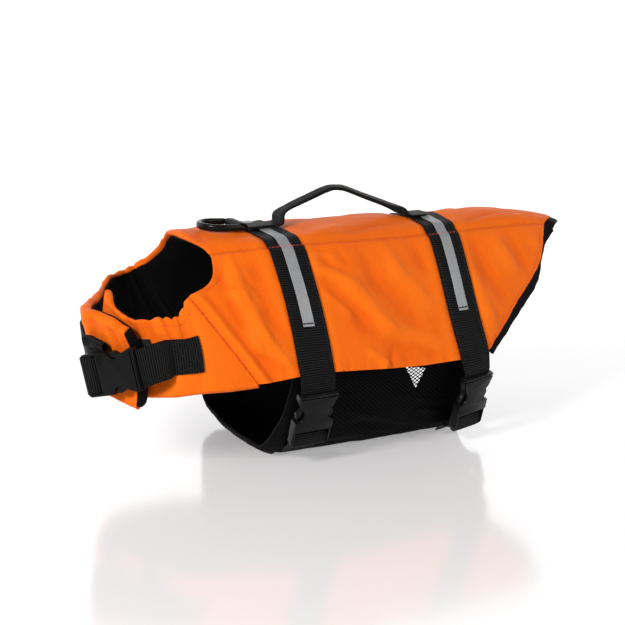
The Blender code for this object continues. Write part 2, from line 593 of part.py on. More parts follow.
# ---- belly ----
BELLY_W = (0.0, 0.09, 0.17, 0.24, 0.31, 0.38, 0.41, 0.44, 0.5, 0.56, 0.59, 0.62, 0.69, 0.76, 0.84, 0.92, 1.0)


def make_belly_net():
    w = np.array(BELLY_W)
    edge = smooth(BELLY_EDGES[:, 0], BELLY_EDGES[:, 1:], w)
    front, rear = edge[:, 0], edge[:, 1]
    lip = LIP_LENGTH * np.array((0, 0.25, 0.5, 0.75, 1.0))
    middle = (0.25, 0.5, 0.75)
    x = np.concatenate((front + lip[:, None], span(front + LIP_LENGTH, rear - LIP_LENGTH, middle),
                        rear - lip[::-1, None]))
    w = np.broadcast_to(w, x.shape)
    return wall("belly_net", belly(x, w, 0 * x), belly(x, w, 0 * x - NET_THICK), black_cloth)


def make_binding(name, column, sign):
    """Folded tape round the net's free edge: a C-shaped section carried along the edge."""
    w = np.array(BELLY_W)
    edge = smooth(BELLY_EDGES[:, 0], BELLY_EDGES[:, column:column + 1], w)[:, 0]
    reach = (BINDING_GAP, BINDING_WIDTH * 0.5, BINDING_WIDTH)

    def line(inset, out):
        return belly(edge + sign * inset, w, 0 * w + out)
    over, under = BINDING_GAP, -NET_THICK - BINDING_GAP
    cap = reach[0] + BINDING_THICK
    rings = [line(reach[2], over + BINDING_THICK), line(reach[1], over + BINDING_THICK),
             line(-cap, over + BINDING_THICK), line(-cap, under - BINDING_THICK),
             line(reach[1], under - BINDING_THICK), line(reach[2], under - BINDING_THICK),
             line(reach[2], under), line(reach[1], under), line(-reach[0], under),
             line(-reach[0], over), line(reach[1], over), line(reach[2], over)]
    return sweep(name, np.stack(rings, axis=1), black_cloth)


# ---- webbing ----
def strap_x(strap, q):
    """Middle of a back strap: it leans back as it drops."""
    run = np.array(strap["run"], float)
    return strap["x"] + smooth(run[:, 0], run[:, 1:], strap_drop(strap, q).ravel())[:, 0].reshape(np.shape(q))


def strap_drop(strap, q):
    level = torso(np.full(np.shape(q), strap["x"]), q)[..., 2]
    return torso(strap["x"], 0.0)[..., 2] - level


STRAP_Q = np.concatenate((-1 - np.array(SIDE_S[::-1]), np.array(SPINE_Q[1:-1]), 1 + np.array(SIDE_S)))


def make_back_strap(name, strap, buckle, over):
    """Webbing from the left buckle up over the back and down to the belly net's right side.

    over is how far its sewn end stands off the net, 0.5 on the net itself and more on a binding.
    """
    start, axis, side, face = buckle_axes(buckle)
    side = side * np.sign(side[0])
    across = np.array((-0.5, 0.0, 0.5)) * WEB_WIDTH
    x = strap_x(strap, STRAP_Q)[:, None] + across
    q = np.broadcast_to(STRAP_Q[:, None], x.shape)
    inner = panel_face(x, q, LAY_GAP)
    outer = panel_face(x, q, LAY_GAP + WEB_THICK)
    # free run from the hem into the male half's slot
    centre = [start + axis * 4.6, start + axis * 1.0, start - axis * 4.0]
    free_in = np.array([[c + side * a - face * WEB_THICK / 2 for a in across] for c in centre])
    free_out = np.array([[c + side * a + face * WEB_THICK / 2 for a in across] for c in centre])
    # right side: past the hem and sewn down on the belly net
    x_right = x[-1] + np.array((0.6, 1.4, 2.2, 3.0))[:, None]
    w_right = np.broadcast_to(np.array((0.90, 0.865, 0.82, 0.78))[:, None], x_right.shape)
    lift = np.array((4.0, 1.1, 0.0, 0.0))[:, None] + over + 0 * x_right
    right_in = belly(x_right, w_right, lift)
    right_out = belly(x_right, w_right, lift + WEB_THICK)
    inner = np.concatenate((free_in, inner, right_in))
    outer = np.concatenate((free_out, outer, right_out))
    return wall(name, outer, inner, black_webbing)


def make_tape(name, strap):
    """Reflective tape along the middle of a back strap, from flank to flank."""
    q = STRAP_Q[np.abs(STRAP_Q) < 1 + strap["tape_s"] - 0.01]
    q = np.concatenate(([-1 - strap["tape_s"]], q, [1 + strap["tape_s"]]))
    x = strap_x(strap, q)[:, None] + np.array((-0.5, 0.5)) * TAPE_WIDTH
    q = np.broadcast_to(q[:, None], x.shape)
    lift = LAY_GAP + WEB_THICK + SEAM_GAP
    return wall(name, panel_face(x, q, lift + TAPE_THICK), panel_face(x, q, lift), silver_tape)


def ribbon(name, centre, side, width, finish, thick=WEB_THICK):
    """Flat webbing along a path: `side` is the unit direction across it at each point."""
    run = unit(np.gradient(centre, axis=0))
    face = unit(np.cross(run, side))
    half = side * (np.asarray(width, float).reshape(-1, 1) / 2)
    lift = face * (np.asarray(thick, float).reshape(-1, 1) / 2 * np.ones((len(centre), 1)))
    low, high = centre - lift, centre + lift
    rings = np.stack((low - half, low + half, high + half, high - half), axis=1)
    return sweep(name, rings, finish)


BAR_ROUND = 1.8         # half the thickness of the female half's webbing bar


def bar_wrap(start, axis, face):
    """Middle of the webbing held by the female half: down through its window, over the bar and behind."""
    return [start + axis * v + face * lift for v, lift in
            ((45.0, -3.4), (46.4, -0.4), (49.4, 2.0), (53.0, 2.9), (56.6, 3.1), (59.9, 3.1),
             (61.5, 1.8), (61.7, 0.0), (61.5, -1.8), (59.9, -3.2))]


def make_belly_strap(name, buckle, x_mid, net_w):
    start, axis, side, face = buckle_axes(buckle)
    path = bar_wrap(start, axis, face)
    for w, lift in net_w:
        path.append(belly(np.array([x_mid]), np.array([w]), np.array([lift + WEB_THICK / 2]))[0])
    path = np.array(path)
    sides = np.tile(side, (len(path), 1))
    return ribbon(name, path, sides, np.full(len(path), WEB_WIDTH), black_webbing)


def buckle_axes(buckle):
    """Start of a buckle, and unit vectors along it, across it and out of its face."""
    start, finish, outward = (np.array(p) for p in buckle)
    axis = unit(finish - start)
    face = unit(outward - axis * (outward @ axis))
    return start, axis, np.cross(axis, face), face


# ---- buckles ----
def box_shape(low, high):
    shape = bmesh.new()
    bmesh.ops.create_cube(shape, size=1.0)
    size, middle = Vector(high) - Vector(low), (Vector(high) + Vector(low)) / 2
    for vertex in shape.verts:
        vertex.co = Vector(a * b + c for a, b, c in zip(vertex.co, size, middle))
    return shape


def disc_shape(u, v, radius, height, sides=16):
    shape = bmesh.new()
    bmesh.ops.create_cone(shape, cap_ends=True, segments=sides, radius1=radius, radius2=radius, depth=height)
    bmesh.ops.translate(shape, verts=shape.verts, vec=(u, v, 0))
    return shape


def outline_shape(outline, half_thick, bevel=0.0):
    shape = bmesh.new()
    low = [shape.verts.new((u, v, -half_thick)) for u, v in outline]
    face = shape.faces.new(low)
    made = bmesh.ops.extrude_face_region(shape, geom=[face])
    moved = [item for item in made["geom"] if isinstance(item, bmesh.types.BMVert)]
    bmesh.ops.translate(shape, verts=moved, vec=(0, 0, 2 * half_thick))
    bmesh.ops.recalc_face_normals(shape, faces=shape.faces)
    if bevel:
        rims = [edge for edge in shape.edges if abs(edge.verts[0].co.z - edge.verts[1].co.z) < 1e-6]
        bmesh.ops.bevel(shape, geom=rims, offset=bevel, segments=1, affect="EDGES", profile=0.5)
    return shape


def solid_object(name, shape, finish=None):
    mesh = bpy.data.meshes.new(name)
    shape.transform(Matrix.Scale(0.001, 4))
    shape.to_mesh(mesh)
    shape.free()
    made = bpy.data.objects.new(name, mesh)
    bpy.context.scene.collection.objects.link(made)
    if finish:
        mesh.materials.append(finish(name))
    return made


def combine(target, tools, operation):
    """Exact Boolean of each tool in turn, applied so that the tool can be removed; splits the faces last."""
    for tool in tools:
        modifier = target.modifiers.new("cut", "BOOLEAN")
        modifier.operation = operation
        modifier.solver = "EXACT"
        modifier.object = tool
        depsgraph = bpy.context.evaluated_depsgraph_get()
        mesh = bpy.data.meshes.new_from_object(target.evaluated_get(depsgraph))
        target.modifiers.clear()
        target.data = mesh
        bpy.data.objects.remove(tool)
    shape = bmesh.new()
    shape.from_mesh(target.data)
    bmesh.ops.remove_doubles(shape, verts=shape.verts, dist=1e-6)
    bmesh.ops.dissolve_degenerate(shape, edges=shape.edges, dist=1e-6)
    bmesh.ops.triangulate(shape, faces=shape.faces)
    shape.to_mesh(target.data)
    shape.free()
    return target


SLOT_HALF = WEB_WIDTH / 2 + 0.6
FEMALE_START = 14.9
BODY_END = 43.0
WINDOW_END = 55.6


def rounded_outline(half, near, low, high, corner):
    """Outline in the buckle's plane: round far corners, and a near end of its own half width."""
    far = [(half - corner + corner * math.cos(a), high - corner + corner * math.sin(a))
           for a in np.radians((0, 22.5, 45, 67.5, 90))]
    right = [(near, low), (half, low + 2.2)] + far
    return right + [(-u, v) for u, v in right[::-1]]


def make_female(name, placing):
    """Female half: a hollow body open to the prongs, side notches, and a frame with the webbing bar."""
    half, thick = BUCKLE_WIDTH / 2, BUCKLE_THICK / 2
    outline = rounded_outline(half, half - 2.2, FEMALE_START, BUCKLE_LENGTH - 1.5, 5.0)
    body = solid_object(name, outline_shape(outline, thick, 0.9), black_plastic)
    cuts = [box_shape((-18.2, FEMALE_START - 3, -2.9), (18.2, 39.5, 2.9)),
            box_shape((-SLOT_HALF, BODY_END, -8), (SLOT_HALF, WINDOW_END, 8)),
            box_shape((-SLOT_HALF, WINDOW_END - 1, BAR_ROUND), (SLOT_HALF, BUCKLE_LENGTH + 2, 8)),
            box_shape((-SLOT_HALF, WINDOW_END - 1, -8), (SLOT_HALF, BUCKLE_LENGTH + 2, -BAR_ROUND)),
            box_shape((-SLOT_HALF, BUCKLE_LENGTH - 2.8, -8), (SLOT_HALF, BUCKLE_LENGTH + 2, 8)),
            disc_shape(half + 0.6, 22.3, 8.6, 30), disc_shape(-half - 0.6, 22.3, 8.6, 30)]
    combine(body, [solid_object("tool", cut) for cut in cuts], "DIFFERENCE")
    body.matrix_world = placing
    return body


def make_male(name, placing):
    """Male half: a frame that the webbing enters, two barbed prongs and a guide tongue."""
    half = BUCKLE_WIDTH / 2
    waist = ((half, 0.0), (half, 5.6), (half - 1.0, 7.6), (16.6, FEMALE_START - 0.5))
    outline = waist + tuple((-u, v) for u, v in waist[::-1])
    body = solid_object(name, outline_shape(outline, 3.8, 1.0), black_plastic)
    prong = ((11.5, 12.0), (16.2, 12.0), (15.2, 16.5), (19.0, 20.0), (20.4, 23.5), (19.6, 27.6),
             (14.6, 36.5), (11.5, 36.5))
    parts = [outline_shape(prong, 2.3), outline_shape([(-u, v) for u, v in prong], 2.3),
             box_shape((-3.5, 12, -2.3), (3.5, 32, 2.3))]
    combine(body, [solid_object("tool", part) for part in parts], "UNION")
    slot = box_shape((-SLOT_HALF, -2, -1.35), (SLOT_HALF, 5.4, 1.35))
    combine(body, [solid_object("tool", slot)], "DIFFERENCE")
    body.matrix_world = placing
    return body


def buckle_placing(buckle):
    start, axis, side, face = buckle_axes(buckle)
    matrix = Matrix.Identity(4)
    for row in range(3):
        matrix[row][0], matrix[row][1], matrix[row][2] = side[row], axis[row], face[row]
        matrix[row][3] = start[row] * 0.001
    return matrix


# ---- spine hardware ----
BAR_X = -81.5           # the D-ring's straight bar
RING_HALF = SPINE_WEB_WIDTH / 2 + 0.8 + RING_BAND / 2
RING_LENGTH = 36.0
RING_PITCH = math.radians(3.0)


def spine_top(x, out):
    return float(panel_face(x, 0.0, out)[..., 2])


def bar_height():
    return spine_top(BAR_X, LAY_GAP + WEB_THICK + SEAM_GAP + BAR_HEIGHT / 2 + 0.75)


def make_d_ring():
    """D-ring on its hinge line: a straight bar along y and a round bow towards the head."""
    corner, bow = 3.0, RING_HALF
    straight = RING_LENGTH - bow
    path = [(0.0, y, 0.0) for y in (-RING_HALF + corner, 0.0, RING_HALF - corner)]
    for a in np.radians((30, 60)):
        path.append((-corner + corner * math.cos(a), RING_HALF - corner + corner * math.sin(a), 0.4))
    path.append((-corner, RING_HALF, 0.8))
    for a in np.radians(np.linspace(0, 180, 13)):
        path.append((-straight - bow * math.sin(a), bow * math.cos(a), 1.0))
    path.append((-corner, -RING_HALF, 0.8))
    for a in np.radians((60, 30)):
        path.append((-corner + corner * math.cos(a), -RING_HALF + corner - corner * math.sin(a), 0.4))
    path = np.array(path)
    swell, path = path[:, 2:], path * (1, 1, 0)
    run = unit(np.roll(path, -1, axis=0) - np.roll(path, 1, axis=0))
    out = np.cross(run, (0.0, 0.0, 1.0))
    half_band = (BAR_HEIGHT + (RING_BAND - BAR_HEIGHT) * swell) / 2
    half_height = (BAR_HEIGHT + (RING_HEIGHT - BAR_HEIGHT) * swell) / 2
    up = np.array((0.0, 0.0, 1.0))
    section = ((1, 0.45), (0.55, 1), (-0.55, 1), (-1, 0.45), (-1, -0.45), (-0.55, -1), (0.55, -1), (1, -0.45))
    rings = np.stack([path + out * half_band * a + up * half_height * b for a, b in section], axis=1)
    ring = sweep("d_ring", rings, black_plastic, closed=True)
    ring.matrix_world = (Matrix.Translation((BAR_X * 0.001, 0, bar_height() * 0.001))
                         @ Matrix.Rotation(RING_PITCH, 4, "Y"))
    return ring


def make_handle():
    """One length of webbing: round the D-ring's bar, along the spine, up as the grip and down again."""
    bar_z = bar_height()
    wrap = BAR_HEIGHT / 2 + SEAM_GAP + 0.35 + WEB_THICK / 2
    low = LAY_GAP + WEB_THICK + SEAM_GAP + TAPE_THICK + SEAM_GAP + WEB_THICK / 2
    front_z, rear_z = spine_top(FRONT_STRAP["x"], low), spine_top(REAR_STRAP["x"], low)
    full = SPINE_WEB_WIDTH
    # columns: x, height of the webbing's middle, width, share of its thickness (more where it is rolled)
    rows = [(BAR_X + 4.6, bar_z - wrap, full, 1)]
    rows += [(BAR_X - wrap * math.sin(a), bar_z - wrap * math.cos(a), full, 1)
             for a in np.radians((0, 45, 90, 135, 180))]
    rows += [(BAR_X + 5, bar_z + wrap - 0.5, full, 1), (-70, front_z + 0.9, full, 1), (-60, front_z, full, 1),
             (-44, front_z, full, 1), (-37, front_z + 0.4, full, 1), (-33.5, front_z + 2.4, full, 1),
             (-33.2, front_z + 6.0, full - 1, 1.1), (-32.6, front_z + 9.5, 26, 1.5),
             (-29, front_z + 13.2, 19, 2.0), (-22, front_z + 16.6, 15, 2.0)]
    rows += [(3, 252.0, 14, 2.0), (18, 257.3, 14, 2.0), (27, 259.1, 14, 2.0), (37, 258.2, 14, 2.0),
             (64, 247.8, 14, 2.0), (88, 238.8, 15, 2.0), (98, 234.4, 17, 1.9)]
    rows += [(103.5, rear_z + 6.6, 21, 1.5), (106, rear_z + 3.4, 28, 1.1), (108.5, rear_z + 0.9, full, 1),
             (113, rear_z, full, 1), (135, rear_z + 0.1, full, 1)]
    rows = np.array(rows)
    centre = np.column_stack((rows[:, 0], 0 * rows[:, 0], rows[:, 1]))
    side = np.tile((0.0, 1.0, 0.0), (len(rows), 1))
    return ribbon("handle_webbing", centre, side, rows[:, 2], black_webbing, rows[:, 3] * WEB_THICK)


# ---- neck webbing ----
def sewn_rows(side, table, lift, steps):
    """Webbing lying on a flap: rows of three points across, from its upper edge to its lower one."""
    share = np.array((0.0, 0.5, 1.0))
    table = smooth(np.linspace(0, 1, len(table)), table, np.linspace(0, 1, steps))
    u = table[:, :1] + (table[:, 2:3] - table[:, :1]) * share
    v = table[:, 1:2] + (table[:, 3:] - table[:, 1:2]) * share
    return flap(side, u, v, lift), flap(side, u, v, lift + WEB_THICK)


def make_neck_strap_left():
    """Webbing sewn on the left flap that runs free into the neck buckle's male half."""
    start, axis, side, face = buckle_axes(NECK_BUCKLE)
    across = side * np.sign(side[2])
    sewn_in, sewn_out = sewn_rows(LEFT, NECK_WEB_LEFT, LAY_GAP + 0.25, 10)
    sewn_across = unit(sewn_in[0, 0] - sewn_in[0, 2])
    sewn_face = unit(sewn_out[0, 1] - sewn_in[0, 1])
    rows = [(start + axis * 4.6, 0.0), (start + axis, 0.0), (start - axis * 4.0, 0.0)]
    rows += [(np.array(c), share) for c, share in zip(NECK_WEB_FREE, (0.35, 0.65, 0.9))]
    free_in, free_out = [], []
    for centre, share in rows:
        width = unit(across * (1 - share) + sewn_across * share) * WEB_WIDTH / 2
        lift = unit(face * (1 - share) + sewn_face * share) * WEB_THICK / 2
        free_in.append([centre + width * a - lift for a in (1, 0, -1)])
        free_out.append([centre + width * a + lift for a in (1, 0, -1)])
    return wall("neck_strap_left", np.concatenate((free_out, sewn_out)), np.concatenate((free_in, sewn_in)),
                black_webbing)


def make_neck_strap_right():
    """Webbing sewn on the right flap, carried round the front to end behind the neck buckle."""
    inner, outer = sewn_rows(RIGHT, NECK_WEB_RIGHT, LAY_GAP, 25)
    return wall("neck_strap_right", outer, inner, black_webbing)


def make_neck_loop():
    """Short webbing that holds the neck buckle's bar and is sewn on the right strap's end."""
    start, axis, side, face = buckle_axes(NECK_BUCKLE)
    across = side * np.sign(side[2]) * WEB_WIDTH / 2
    wrap = np.array(bar_wrap(start, axis, face))
    run = unit(np.gradient(wrap, axis=0))
    wrap_face = unit(np.cross(run, across)) * WEB_THICK / 2
    middle = np.array([[c + across * a for a in (1, 0, -1)] for c in wrap])
    end = np.array([[start + axis * along + across * a - face * deep for a, deep in zip((1, 0, -1), depths)]
                    for along, *depths in NECK_LOOP_END])
    lift = face * WEB_THICK / 2
    return wall("neck_loop", np.concatenate((middle - wrap_face[:, None], end - lift)),
                np.concatenate((middle + wrap_face[:, None], end + lift)), black_webbing)


def make_buckles():
    for place, buckle in (("front", FRONT_BUCKLE), ("rear", REAR_BUCKLE), ("neck", NECK_BUCKLE)):
        placing = buckle_placing(buckle)
        make_male("buckle_male_" + place, placing)
        make_female("buckle_female_" + place, placing)


def main():
    for item in list(bpy.data.objects):
        bpy.data.objects.remove(item)
    make_spine_panel()
    make_side_panel(LEFT, "side_panel_left")
    make_side_panel(RIGHT, "side_panel_right")
    make_body_lining()
    make_rear_rim()
    make_neck_flap(LEFT, "neck_flap_left", 23)
    make_neck_flap(RIGHT, "neck_flap_right", 21)
    make_neck_lining(LEFT, "neck_lining_left", 23)
    make_neck_lining(RIGHT, "neck_lining_right", 21)
    make_neck_flap_rim()
    make_closure_patch()
    make_belly_net()
    make_binding("belly_binding_front", 1, 1)
    make_binding("belly_binding_rear", 2, -1)
    make_back_strap("back_strap_front", FRONT_STRAP, FRONT_BUCKLE, 0.5)
    make_back_strap("back_strap_rear", REAR_STRAP, REAR_BUCKLE, 2.4)
    make_tape("reflective_tape_front", FRONT_STRAP)
    make_tape("reflective_tape_rear", REAR_STRAP)
    make_belly_strap("belly_strap_front", FRONT_BUCKLE, -42.5, ((0.345, 3.0), (0.36, 0.8), (0.38, 0.8)))
    make_belly_strap("belly_strap_rear", REAR_BUCKLE, 134.0, ((0.345, 5.0), (0.365, 2.4), (0.385, 2.4)))
    make_buckles()
    make_d_ring()
    make_handle()
    make_neck_strap_left()
    make_neck_strap_right()
    make_neck_loop()


main()
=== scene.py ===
"""Finish of the dog life jacket: cloth, webbing, net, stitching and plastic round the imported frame.

Surfaces are worked out in millimetres on the same torso, flap and belly surfaces as the solids, with
the creases, puckers and fine edges added, and are turned to metres where a mesh is made.
"""
import math

import bmesh
import bpy
import numpy as np
from bpy.props import FloatProperty, FloatVectorProperty, PointerProperty
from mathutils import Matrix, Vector


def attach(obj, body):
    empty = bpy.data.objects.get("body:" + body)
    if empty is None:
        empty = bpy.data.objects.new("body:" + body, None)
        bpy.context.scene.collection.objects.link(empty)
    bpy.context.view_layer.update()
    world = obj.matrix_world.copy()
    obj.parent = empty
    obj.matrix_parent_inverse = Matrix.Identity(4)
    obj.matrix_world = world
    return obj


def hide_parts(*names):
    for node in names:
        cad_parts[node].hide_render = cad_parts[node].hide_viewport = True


bl_info = {
    "name": "Dog Life Jacket Finish",
    "version": (1, 0, 0),
    "blender": (4, 5, 0),
    "location": "View3D > Sidebar > Jacket",
    "description": "Cloth, webbing, net, stitching and plastic of a dog life jacket",
    "category": "Object",
}

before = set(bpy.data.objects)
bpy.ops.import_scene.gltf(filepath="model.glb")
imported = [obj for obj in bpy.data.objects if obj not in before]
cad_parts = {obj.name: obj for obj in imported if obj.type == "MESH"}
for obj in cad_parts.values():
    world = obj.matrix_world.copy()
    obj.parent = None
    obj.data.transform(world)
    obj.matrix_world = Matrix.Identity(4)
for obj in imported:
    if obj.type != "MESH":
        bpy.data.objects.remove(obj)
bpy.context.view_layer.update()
MM = 0.001


# ---- driving sizes (millimetres) ----
PAD = 9.0               # foam panel with its two faces
PAD_REAR = 5.5          # the same at the rear edge, where the foam stops
PAD_NECK, PAD_CROWN = 4.2, 7.0      # at the neck edge: on the side panels, and on the spine
REAR_FADE, NECK_FADE = 16.0, 14.0       # over how much cloth the pad thins to them
PAD_LEAST = 3.5         # thickness that is left where the outer face is pressed in
FLAP_PAD = 8.0
FLAP_EDGE = 4.4         # thinned top edge of a neck flap
FLAP_END_EDGE = 10.5    # the same at the right flap's free end, where it is folded over
LINING = 1.0
SEAM_GAP = 0.3
RIDGE_GAP = 0.5         # between the spine panel and a side panel, inside the pulled-in seam
LINING_GAP = 0.7
WEB_WIDTH = 36.0
SPINE_WEB_WIDTH = 32.0
WEB_THICK = 1.6
LAY_GAP = 0.45          # between a panel and what is sewn on it
BINDING_GAP = 0.45
TAPE_WIDTH = 11.5
TAPE_THICK = 0.5
WEB_TOP = LAY_GAP + WEB_THICK           # outer face of a strap on the cloth; then the tape on that strap
TAPE_FOOT, TAPE_TOP = WEB_TOP + SEAM_GAP, WEB_TOP + SEAM_GAP + TAPE_THICK
NET_THICK = 2.0
EDGE_ROUND = 3.4        # how far a padded edge rounds out past its faces
RIDGE_DIP = 1.8         # how deep the stitched ridge seams pull in
FOLD_HEIGHT, FOLD_PLACE = 1.6, 11.0     # the fold that stands beside the slanted chest seam
SEAM_WIDTH = 6.0        # half width of that fold, and of the dip at a ridge seam
SPINE_PRESS = 4.0       # how deep the straps and the handle press into the spine panel
RING_BAND, RING_HEIGHT, BAR_HEIGHT = 5.0, 7.0, 3.6      # D-ring: bow width and height, bar height
LEFT, RIGHT = -1, 1
SIDE_NAMES = {LEFT: "left", RIGHT: "right"}
DROP = 135.0            # length of a side panel from its ridge seam to its hem
RIDGE_HALF = 52.0       # length of the spine panel from its middle to a ridge seam
FLAP_LENGTH = {LEFT: 190.0, RIGHT: 260.0}
FLAP_DROP = 85.0
FAR = 99.0              # a distance at which a seam no longer pulls
CHEST_SLANT = 0.82      # distance from the slanted chest seam for each millimetre along x
# ---- the torso: sections across the dog, one row for each station along it ----
# columns: x, spine z, ridge y z, shoulder y z, flank y z, hem y z
STATIONS = np.array((
    (-165, 228, 48, 212, 75, 186, 97, 137, 112, 96),
    (-130, 227.3, 50, 214, 76, 187, 98, 139, 113, 95),
    (-100, 226.8, 54, 216, 80, 185, 101, 139, 114, 95),
    (-45, 226.2, 58, 217, 84, 183, 105, 137, 117, 99.5),
    (0, 226.2, 56, 216.5, 82.5, 182, 104, 136, 116, 97),
    (45, 226.2, 51.5, 214.5, 78.5, 180, 100, 133, 112, 93),
    (90, 225.6, 47.5, 213, 74, 177, 95, 130, 107, 90.5),
    (135, 225, 43.5, 212.5, 69, 174, 89.5, 127.5, 103, 90.5),
    (175, 224.5, 40, 212.5, 63.5, 173.5, 82, 130, 91, 95),
    (210, 223, 36, 212, 58, 173, 72, 133, 80, 100),
    (245, 219.5, 32, 210.5, 51, 172, 62, 135, 68, 105),
    (270, 215, 28, 208, 45, 171, 54, 136, 58, 108),
    (295, 208, 24, 204, 38, 170, 46, 136, 50, 108)))
# q runs across: 0 spine, 1 ridge seam, 2 hem; negative on the left
CROWN_Q, CROWN_SAG = 0.6, 0.30      # a point between spine and ridge: its q, and its share of their drop
SECTION_Q = (-CROWN_Q, 0.0, CROWN_Q, 1.0, 1.35, 1.7, 2.0)
# front edge of a side panel, down to the slanted chest seam that starts at CORNER_S
# columns: s (0 ridge seam, 1 hem), left x, right x
CORNER_S = 0.40
NECK_EDGE = np.array((
    (0, -127, -140), (0.08, -127.5, -139.5), (0.16, -128.5, -139.5), (0.24, -131, -142.5),
    (0.31, -137, -147.5), (0.36, -147, -152.5), (CORNER_S, -162, -162)))
SEAM_HEM_X = -104.0
# rear edge of a side panel: s, x
REAR_EDGE = np.array((
    (0, 267), (0.35, 248), (0.52, 229), (0.68, 205.5), (0.80, 189), (0.92, 170), (1, 156)))
SPINE_FRONT_X, SPINE_REAR_X = -142.0, 291.0
FRONT_CURVE, REAR_CURVE = 1.6, 1.5      # how the spine panel's ends run to the ridge seams: powers of |q|
# ---- the neck flaps: sections from the top edge to the hem, one row for each place round the neck ----
# columns: top x y z, middle x y, hem x y z; y is positive towards the flap's own side
LEFT_FLAP = np.array((
    (-162, 80, 178, -133, 98, -104, 112, 93),
    (-168, 80.5, 165, -149, 97.5, -130, 112, 94.5),
    (-176, 81, 160, -164.5, 97, -152, 110.5, 95.5),
    (-188, 80, 162, -179, 93, -171, 105, 94),
    (-200, 76, 160, -190.6, 84.7, -183.6, 97.7, 91.8),
    (-213, 67, 159, -201, 72, -194.9, 84.9, 89.5),
    (-220, 54, 162, -209.2, 59.4, -205.2, 71.4, 87.6),
    (-223, 40, 166, -217, 46, -213, 58, 87),
    (-224, 25, 172, -222.5, 30, -218, 40, 86),
    (-221, 10, 178.5, -226.5, 14, -223, 18, 85)))
RIGHT_FLAP = np.array((
    (-162, 80, 178, -133, 98, -104, 112, 93),
    (-171, 79, 175.5, -152, 97.5, -132, 112, 95),
    (-181, 74, 175, -170, 94, -158, 109, 95.5),
    (-192, 66, 175, -185, 85, -178, 101, 94),
    (-203, 52, 171, -199, 69, -195, 85, 92),
    (-214, 35, 167, -212, 50, -209, 64, 91),
    (-229, 17, 164.5, -226, 29, -221, 42, 90),
    (-240, 0, 164, -235, 9, -230.5, 19, 90),
    (-247, -16, 163.5, -240.5, -9, -236, -3, 90),
    (-252, -32, 164, -243.5, -27, -239, -23, 89.5),
    (-247.5, -45.5, 163.5, -237.5, -41.5, -236.5, -38.5, 87.5),
    (-240.7, -57.5, 161.2, -228.3, -54.5, -230.2, -51.5, 84.7),
    (-232.7, -69.4, 158.7, -221.3, -66.4, -223.2, -64.9, 81.7),
    (-223.7, -79.4, 155.7, -213.3, -75.4, -214.7, -77.4, 78.2)))
FLAPS = {LEFT: LEFT_FLAP, RIGHT: RIGHT_FLAP}
GATHERS = 5             # shallow waves in the left flap's top edge
GATHER_DEPTH = 1.3
# ---- the belly panel: knots round its section, below the two tucked-in top edges ----
# columns: w, y as a share of the tucked hem's y, z as a share of the tucked hem's z
BELLY_KNOTS = np.array((
    (0.17, -0.96, 0.77), (0.24, -0.89, 0.54), (0.31, -0.78, 0.33), (0.38, -0.625, 0.115), (0.44, -0.42, 0),
    (0.56, 0.42, 0), (0.62, 0.66, 0.055), (0.69, 0.85, 0.14), (0.76, 0.96, 0.30), (0.84, 1, 0.57)))
BELLY_TUCK_Q = 1.88     # how far up behind the hem the belly panel's side edges reach
BELLY_TUCK_GAP = PAD + LINING_GAP + LINING + 2.2
BELLY_CENTRE = np.array((0.0, 110.0))       # y and z of the point that its turned-up edges lean towards
# front and rear edges: w, front x, rear x, how far both of them turn up
BELLY_EDGES = np.array((
    (0, -59, 157, 5), (0.12, -61.5, 157, 5), (0.24, -66.5, 156.5, 5.5), (0.38, -72, 156, 9),
    (0.5, -77, 156, 6.5), (0.60, -79, 156, 9.5), (0.76, -81, 156.5, 6), (1, -80, 157, 5)))
LIP_LENGTH = 24.0
BINDING_WIDTH, BINDING_THICK = 11.0, 1.3
# buckles: centre of the male end, centre of the female end, the way its face looks
FRONT_BUCKLE = ((-43.5, -116.0, 81.5), (-45.0, -93.0, 21.5), (0.06, -1.0, 0.0))
REAR_BUCKLE = ((139.5, -106.5, 75.0), (135.5, -90.0, 14.5), (0.31, -0.95, 0.0))
NECK_BUCKLE = ((-214.8, -89.7, 119.7), (-255.8, -39.2, 103.7), (-0.776, -0.63, 0.0))
# ---- back straps ----
# x at the spine, where the tape ends, half the stretch of the spine that they press in, and how far they have
# run back by each drop below it; then the buckle, how far the sewn end stands off the net, which is more on a
# binding, and the short strap under the buckle: its x, and w and height of its rows on the net
FRONT_STRAP = dict(x=-52.0, tape_s=0.645, press=32.0,
                   run=((-5, 0), (10, 0), (60, 3.2), (100, 6.0), (140, 8.6)),
                   buckle=FRONT_BUCKLE, end_lift=0.5,
                   belly_x=-42.5, belly_rows=((0.345, 3.0), (0.36, 0.8), (0.38, 0.8)))
REAR_STRAP = dict(x=131.0, tape_s=0.62, press=30.0,
                  run=((-5, 0), (10, 0), (65, 0.9), (100, 4.3), (125, 8.4), (145, 11.0)),
                  buckle=REAR_BUCKLE, end_lift=2.4,
                  belly_x=134.0, belly_rows=((0.345, 5.0), (0.365, 2.4), (0.385, 2.4)))
STRAPS = {"front": FRONT_STRAP, "rear": REAR_STRAP}
